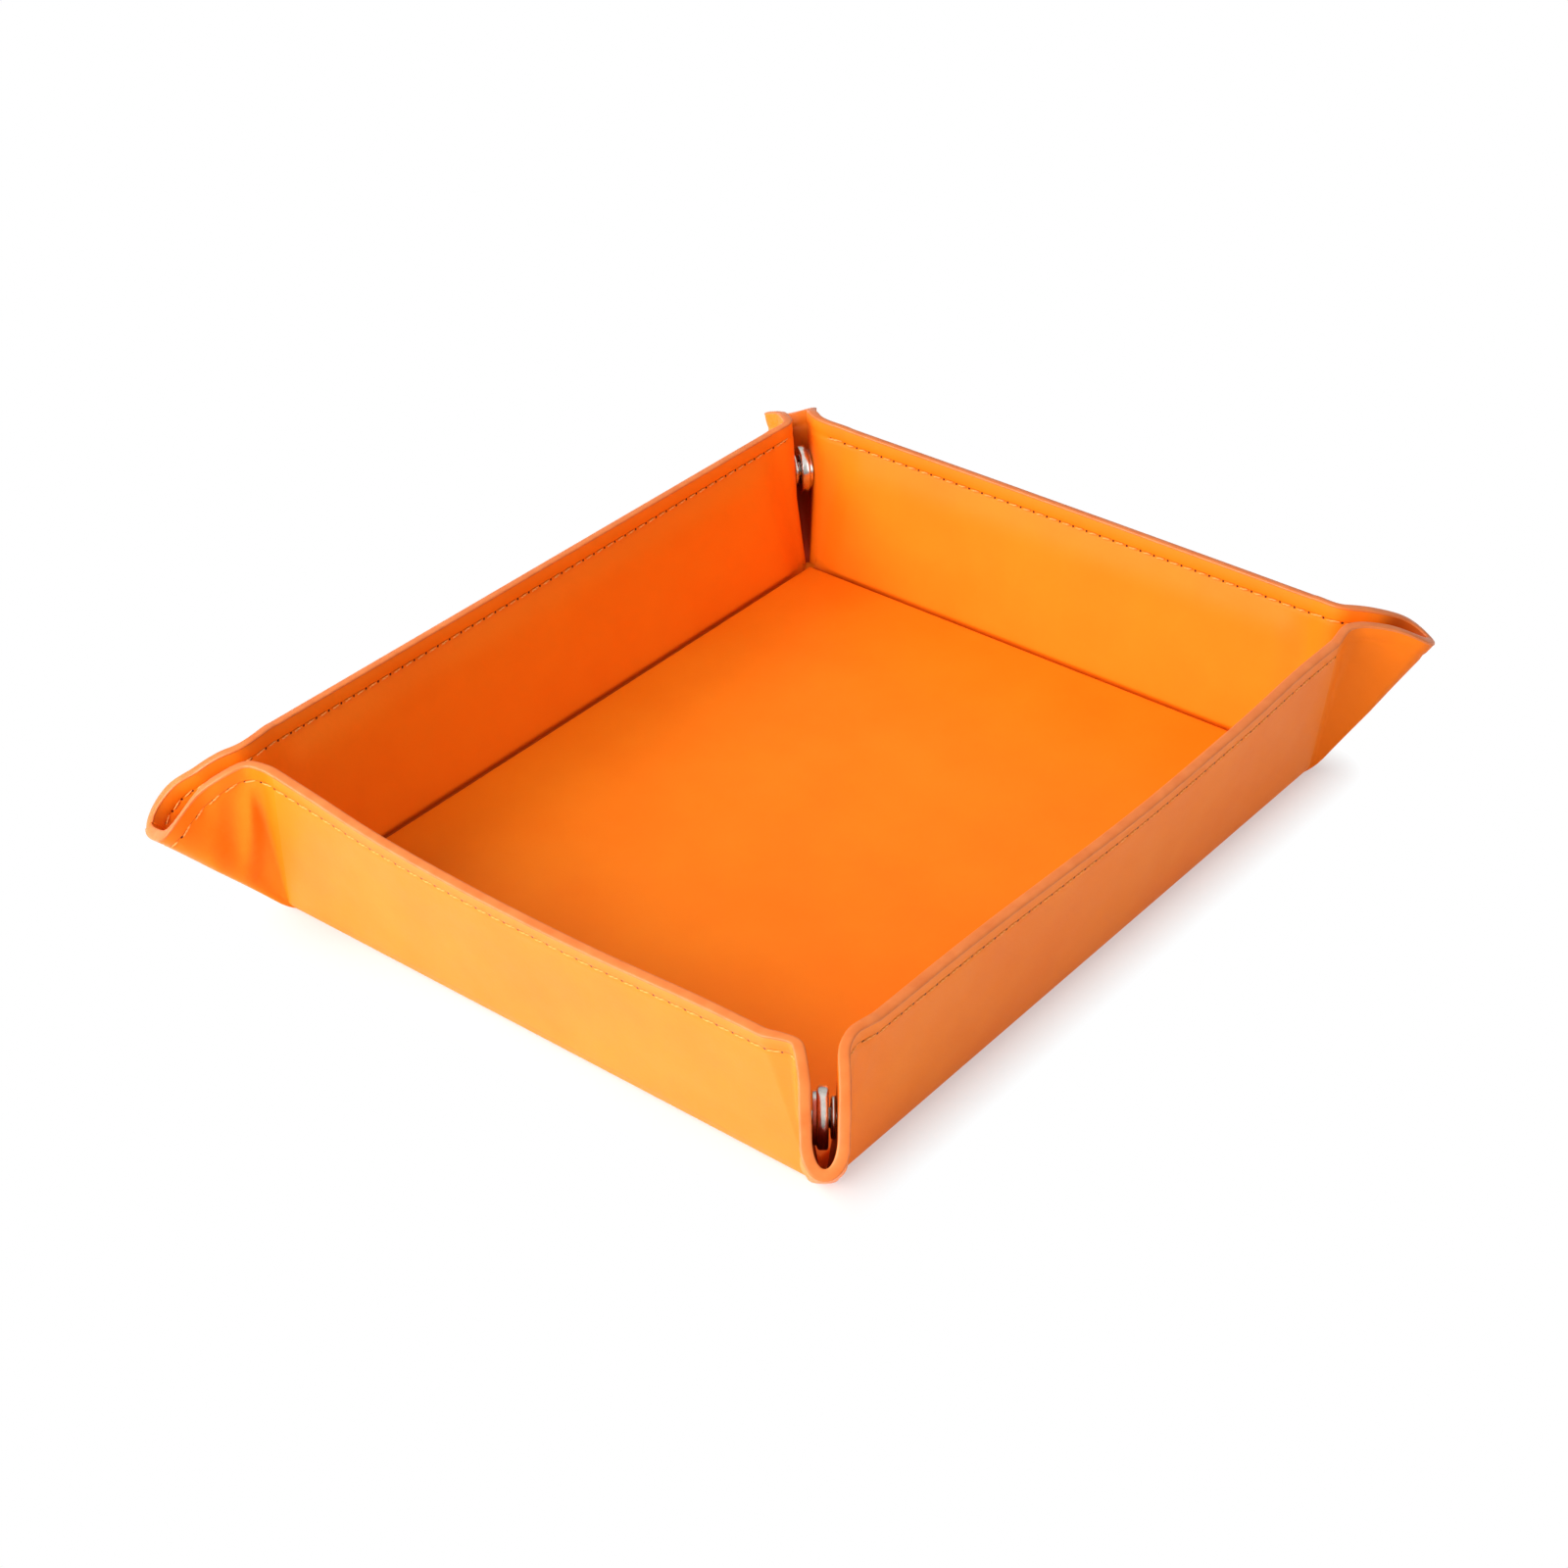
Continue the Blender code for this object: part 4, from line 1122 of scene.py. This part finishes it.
# %% Needle holes
# Sizes in millimetres: the radius of a hole, how far its edge fades as a share of that, and where
# the painted shadow line lies from the seam and half its width. It reaches a share of a stitch past
# each hole. A mark is full within a share of its half width.
HOLE_RADIUS, HOLE_FADE = 0.3, 1.4
LINE_MIDDLE, LINE_HALF, LINE_REACH = -0.26, 0.16, 0.62
FULL_SHARE = 0.4


def narrow(add, value, middle, half_width):
    """1 where a value lies near the middle and 0 past the half width."""
    off = add("Math", add("Math", value, middle, operation="SUBTRACT"), operation="ABSOLUTE")
    ends = (FULL_SHARE * half_width, half_width, 1.0, 0.0)
    return add("MapRange", off, *ends, interpolation_type="SMOOTHSTEP")


def needlework_shade(add):
    """Where the sewing gets painted shade, 1 in a needle hole and in the painted shadow line above a
    stitch, and the distance from the rim."""
    seam = add("SeparateXYZ", add("UVMap", uv_map="seam"))
    count, from_rim = seam.outputs["X"], seam.outputs["Y"]
    step = add("Math", add("Math", count, 0.5, operation="ADD"), operation="FRACT")
    off = add("Math", step, 0.5, operation="SUBTRACT")
    along = add("Math", off, STITCH_PITCH * 1000, operation="MULTIPLY")
    aside = add("Math", from_rim, SEAM_INSET * 1000, operation="SUBTRACT")
    squares = [add("Math", side, side, operation="MULTIPLY") for side in (along, aside)]
    far = add("Math", add("Math", *squares, operation="ADD"), operation="SQRT")
    holes = narrow(add, far, 0.0, HOLE_FADE * HOLE_RADIUS)
    line = narrow(add, aside, LINE_MIDDLE, LINE_HALF)
    past_holes = [narrow(add, step, end, LINE_REACH) for end in (0.0, 1.0)]
    past = add("Math", *past_holes, operation="MAXIMUM")
    return holes, add("Math", line, past, operation="MULTIPLY"), from_rim


print("needle holes", 2 * HOLE_RADIUS, "mm wide")

# %% [markdown]
# The leather is split hide that has been coated and pressed: smooth and evenly dyed, with a fine
# pebble grain and a satin finish. A picture of leather could be laid on it, but nodes need no
# file and are sharp at any distance. The dye is a little uneven over a few centimetres, and the
# leather is paler over the last two millimetres to the rim. There are three of it: the cover over
# boards, a copy of it for most of the ears, which have none, with less shine and a deeper painted
# tint for the sheen that they don't catch, and the lining, on which deep red is painted as shade
# where a fold or groove lets in little light.

# %% Leather
# Sizes of the patterns in millimetres: clouds in the dye, the pebbles, the pores between them,
# and the soft unevenness of the surface
CLOUDS, PEBBLES, PORES, UNEVEN = 22.2, 0.714, 0.385, 8.33
# How much the paler band at the rim, the painted shade of a fold and the painted shadow line change
# the colour, from 0 to 1, and the distances from the rim, in millimetres, between which the paler band
# fades
RIM_PALE_SHARE, PAINTED_SHADE_SHARE, SHADOW_LINE_SHARE = 0.45, 0.85, 0.42
RIM_PALE_BAND = (0.2, 2.2)


def leather(name, colour, darker, paler, shade_colour, roughness, shine):
    material, add, shader = new_material(name)
    place = add("TexCoord").outputs["Object"]
    cloud = add("TexNoise", Vector=place, Scale=scale_for(CLOUDS), Detail=4.0, Roughness=0.55)
    dyed = add("ValToRGB", cloud, stops=((0.3, linear(darker)), (0.7, linear(colour))))
    sewn = add("Attribute", attribute_name="sewn").outputs["Fac"]
    crease = add("Attribute", attribute_name="crease").outputs["Fac"]
    holes, line, from_rim = needlework_shade(add)
    holes, line = (add("Math", mark, sewn, operation="MULTIPLY") for mark in (holes, line))
    # The leather is paler over the last two millimetres to the rim
    pale_at_rim = add("MapRange", from_rim, *RIM_PALE_BAND, RIM_PALE_SHARE, 0.0)
    paled = add("Mix", pale_at_rim, dyed, linear(paler), data_type="RGBA")
    # Shade is painted into the colour where the shade mark is high
    shade_share = add("Math", crease, PAINTED_SHADE_SHARE, operation="MULTIPLY")
    shade_painted = add("Mix", shade_share, paled, linear(shade_colour), data_type="RGBA")
    # The needle holes and the line above each stitch are painted dark as shade; the holes also dip in
    # the bump
    line = add("Math", line, SHADOW_LINE_SHARE, operation="MULTIPLY")
    stitch_shade = add("Math", holes, line, operation="MAXIMUM")
    with_stitch_shade = add("Mix", stitch_shade, shade_painted, linear("#4A1A04"), data_type="RGBA")

    grain = dict(Vector=place, Scale=scale_for(PEBBLES), Smoothness=0.6)
    pebbles = add("TexVoronoi", feature="SMOOTH_F1", **grain)
    pores = add("TexNoise", Vector=place, Scale=scale_for(PORES), Detail=2.0)
    soft = add("TexNoise", Vector=place, Scale=scale_for(UNEVEN), Detail=3.0)
    height = 0.0
    for layer, share in ((pebbles, 0.08), (pores, 0.035), (soft, 0.2), (holes, -0.9)):
        raised = add("Math", layer, share, operation="MULTIPLY")
        height = add("Math", height, raised, operation="ADD")
    patchy = add("MapRange", soft, To_Min=roughness - 0.05, To_Max=roughness + 0.07)
    bump = add("Bump", Strength=0.55, Distance=0.0004, Height=height)
    connect(shader, Base_Color=with_stitch_shade, Roughness=patchy, Normal=bump)
    connect(shader, IOR=1.45, Specular_IOR_Level=shine)
    return material


# The fifth colour is painted shade: none on the walls' cover, a deeper tint on the ears that catch
# less sheen, deep red on the lining in folds and grooves
cover_leather = leather(
    "coated_split_leather_orange", "#F98414", "#F67C0E", "#F89038", "#F98414", 0.46, 0.45
)
# A copy of the same leather for the ears, with less shine and a deeper painted tint, because they
# catch less sheen than the walls
low_sheen_leather = leather(
    "coated_split_leather_unbacked", "#F98414", "#F67C0E", "#F88A28", "#F87804", 0.52, 0.2
)
lining_leather = leather(
    "coated_split_leather_lining", "#F87F0E", "#F57808", "#F78E2C", "#9C1602", 0.5, 0.2
)
print("leathers", cover_leather.name, low_sheen_leather.name, lining_leather.name)

# %% [markdown]
# The edge paint is a rubbery acrylic, browner and duller than the leather, with a soft shine.
# Brushed on by hand, it is a little wavy every few millimetres, which a slow noise in its bump
# gives the eye as broken highlights.

# %% Edge paint
BRUSH_WAVES = 3.85
edge_paint, add, shader = new_material("acrylic_edge_paint")
place = add("TexCoord").outputs["Object"]
waves = add("TexNoise", Vector=place, Scale=scale_for(BRUSH_WAVES), Detail=3.0)
colour = add("ValToRGB", waves, stops=((0.3, linear("#D86C24")), (0.7, linear("#E27A34"))))
bump = add("Bump", Strength=0.4, Distance=0.0003, Height=waves)
connect(shader, Base_Color=colour, Roughness=0.42, Normal=bump)
print("edge", edge_paint.name)

# %% [markdown]
# The thread is bonded polyester, three plies twisted together, which the eye sees as slanting
# bands. A band pattern across each stitch stands for them, one band for each ply, 0.7 mm apart;
# it raises the plies in the bump, and the shade between them is painted darker in the colour.
# The wave node's bands repeat whenever ten times the sum of x, y and z has grown by a full turn.

# %% Thread
PLY_PITCH = 0.6976
DIAGONAL_SUM = 10 * math.sqrt(3)
sewing_thread, add, shader = new_material("bonded_polyester_thread")
place = add("TexCoord").outputs["Object"]
twist = dict(Vector=place, Scale=scale_for(PLY_PITCH) * 2 * math.pi / DIAGONAL_SUM, Distortion=1.5)
plies = add("TexWave", bands_direction="DIAGONAL", **twist).outputs["Fac"]
# The colour is darker between the plies, as painted shade
colour = add("ValToRGB", plies, stops=((0.1, linear("#E88A30")), (0.8, linear("#F8A450"))))
bump = add("Bump", Strength=0.5, Distance=0.00015, Height=plies)
connect(shader, Base_Color=colour, Roughness=0.6, Normal=bump)
print("thread", sewing_thread.name)

# %% [markdown]
# Bright nickel plate mirrors its surroundings with a warm grey tint. Handling leaves faint
# smears a millimetre or two across, which show as small changes of roughness.

# %% Nickel
SMEARS = 1.43
nickel, add, shader = new_material("bright_nickel_plate")
place = add("TexCoord").outputs["Object"]
smears = add("TexNoise", Vector=place, Scale=scale_for(SMEARS), Detail=4.0)
colour = add("ValToRGB", smears, stops=((0.35, linear("#C9C2BA")), (0.65, linear("#DDD7CF"))))
rough = add("MapRange", smears, To_Min=0.12, To_Max=0.26)
bump = add("Bump", Strength=0.08, Distance=0.0001, Height=smears)
connect(shader, Base_Color=colour, Metallic=1.0, Roughness=rough, Normal=bump)
print("metal", nickel.name)

# %% [markdown]
# The boards are grey board, pressed from waste paper: a dull grey with paler and darker fibres,
# thin and a few millimetres long. A Mapping node stretches the noise four times along the fibres.
# The boards lie hidden between the leathers.

# %% Grey board
FIBRES, FIBRE_STRETCH = 0.667, (1.0, 0.25, 1.0)
grey_board, add, shader = new_material("pressed_grey_board")
stretched = add("Mapping", Vector=add("TexCoord").outputs["Object"], Scale=FIBRE_STRETCH)
fibres = add("TexNoise", Vector=stretched, Scale=scale_for(FIBRES), Detail=5.0)
colour = add("ValToRGB", fibres, stops=((0.35, linear("#8E8880")), (0.65, linear("#ABA59B"))))
bump = add("Bump", Strength=0.3, Distance=0.0001, Height=fibres)
connect(shader, Base_Color=colour, Roughness=0.92, Normal=bump)
print("board", grey_board.name)

# %% [markdown]
# Each piece gets its finish. The solids that stay, the base board and the rivets, only change
# their material.

# %% Finishes on the pieces
def dress(obj, material):
    obj.data.materials.clear()
    obj.data.materials.append(material)


for key, (cover, lining) in made.items():
    # Most ears get the copy whose deeper painted tint stands for the sheen they don't catch
    shown_with_less_sheen = key in half_of and key[0] != "front_left"
    dress(cover, low_sheen_leather if shown_with_less_sheen else cover_leather)
    dress(lining, lining_leather)
for obj in edges.values():
    dress(obj, edge_paint)
for obj in threads.values():
    dress(obj, sewing_thread)
for obj in studs.values():
    dress(obj, nickel)
for obj in boards.values():
    dress(obj, grey_board)
for name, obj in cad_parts.items():
    if name.endswith("_board"):
        dress(obj, grey_board)
    elif name.endswith("_rivet"):
        dress(obj, nickel)
print("finishes", len(bpy.data.materials))

# %% [markdown]
# The tray stands on a white floor that ends nowhere. A curved backdrop of paper would do that in
# a studio. Here the floor is flat, and the further a place is from the tray the more it shows
# plain white to the camera, so the real shadow is kept close to the tray, where it belongs.

# %% Floor
FLOOR_SIZE = 3.0
SHADOW_REACH = 0.011
LEAST_WHITE = 0.4
WHITE = (1, 1, 1, 1)
bm = bmesh.new()
bmesh.ops.create_grid(bm, x_segments=1, y_segments=1, size=FLOOR_SIZE)
floor = finish_mesh("floor", bm)
white, add, shader = new_material("matt_white_floor")
connect(shader, Base_Color=linear("#F6F6F6"), Roughness=0.9)
place = add("SeparateXYZ", add("TexCoord").outputs["Object"])
squares = []
for axis, size in (("X", BASE_LENGTH), ("Y", BASE_WIDTH)):
    from_middle = add("Math", place.outputs[axis], operation="ABSOLUTE")
    beyond = add("Math", from_middle, size / 2, operation="SUBTRACT")
    beyond = add("Math", beyond, 0.0, operation="MAXIMUM")
    squares.append(add("Math", beyond, beyond, operation="MULTIPLY"))
away = add("Math", add("Math", *squares, operation="ADD"), operation="SQRT")
clear = add("MapRange", away, 0.0, SHADOW_REACH, LEAST_WHITE, 1.0)
seen = add("LightPath").outputs["Is Camera Ray"]
shown = add("Math", clear, seen, operation="MULTIPLY")
mixed = add("MixShader", shown, shader, add("Emission", WHITE, 1.0))
connect(white.node_tree.nodes["Material Output"], Surface=mixed)
dress(floor, white)
print("floor", 2 * FLOOR_SIZE, "m wide")

# %% [markdown]
# The surround is three things at once, told apart by the kind of ray that meets it. The camera
# sees it white. The leather gets a weak, slightly warm fill from it. The nickel mirrors it going
# from grey below to white above, because metal in an all white room has no shape.

# %% Surround
FILL_COLOUR, FILL_STRENGTH = (1.0, 0.98, 0.96, 1), 0.4
MIRROR_STOPS = ((0.05, (0.3, 0.3, 0.3, 1)), (0.75, WHITE))
world = bpy.data.worlds.new("surround")
world.use_nodes = True
add, ends = partial(node, world.node_tree), world.node_tree.nodes
backdrop = ends["Background"]
connect(backdrop, Color=WHITE, Strength=1.0)
height = add("SeparateXYZ", add("TexCoord").outputs["Generated"]).outputs["Z"]
mirrored = add("Background", add("ValToRGB", height, stops=MIRROR_STOPS))
fill = add("Background", FILL_COLOUR, FILL_STRENGTH)
rays = add("LightPath")
glossy = add("MixShader", rays.outputs["Is Glossy Ray"], fill, mirrored)
mixed = add("MixShader", rays.outputs["Is Camera Ray"], glossy, backdrop)
connect(ends["World Output"], Surface=mixed)
bpy.context.scene.world = world
print("surround", world.name)

# %% [markdown]
# Small lamps would draw hard shadows, so the lights are wide discs. The key stands low at the
# left and reaches the inside of the right wall, a second behind it lights the far rims, and a
# weak one in front keeps the near walls from going dull.

# %% Lights
LIGHT_DISTANCE = 2.0


def area_light(name, turn, rise, size, power):
    """A round light: turn is in degrees from the left toward the back, rise from the floor up."""
    light = bpy.data.lights.new(name, "AREA")
    light.shape = "DISK"
    light.size = size
    light.energy = power
    turn, rise = math.radians(turn), math.radians(rise)
    way = (-math.cos(turn) * math.cos(rise), math.sin(turn) * math.cos(rise), math.sin(rise))
    obj = bpy.data.objects.new(name, light)
    obj.location = Vector(way) * LIGHT_DISTANCE
    obj.rotation_euler = (-obj.location).to_track_quat("-Z", "Y").to_euler()
    bpy.context.scene.collection.objects.link(obj)


area_light("key", turn=13, rise=26, size=1.5, power=50)
area_light("second", turn=60, rise=38, size=1.1, power=20)
area_light("front fill", turn=-97, rise=30, size=1.5, power=6.5)
print("lights", len(bpy.data.lights))

# %% [markdown]
# The camera stands where the photograph was taken, above the near left corner. Its place and
# lens were fitted to the straight rims and base edges of the tray. It could be aimed with a
# constraint, but one turn worked out from two points is simpler for a camera that stays put.

# %% Camera
CAMERA_PLACE = (-0.452567, -0.348306, 0.401103)
CAMERA_AIM = (-0.012177, -0.000602, 0.021)
LENS, SENSOR = 69.12, 36.0
camera_data = bpy.data.cameras.new("camera")
camera_data.sensor_width = SENSOR
camera_data.lens = LENS
camera_data.clip_start = 0.01
camera = bpy.data.objects.new("camera", camera_data)
camera.location = CAMERA_PLACE
aim = Vector(CAMERA_AIM) - camera.location
camera.rotation_euler = aim.to_track_quat("-Z", "Y").to_euler()
bpy.context.scene.collection.objects.link(camera)
bpy.context.scene.camera = camera
bpy.context.scene.view_settings.view_transform = "Standard"
print("camera at", tuple(round(x, 3) for x in camera.location))

# %% [markdown]
# Last, the scene is brought up to date.

# %% Last update
bpy.context.view_layer.update()
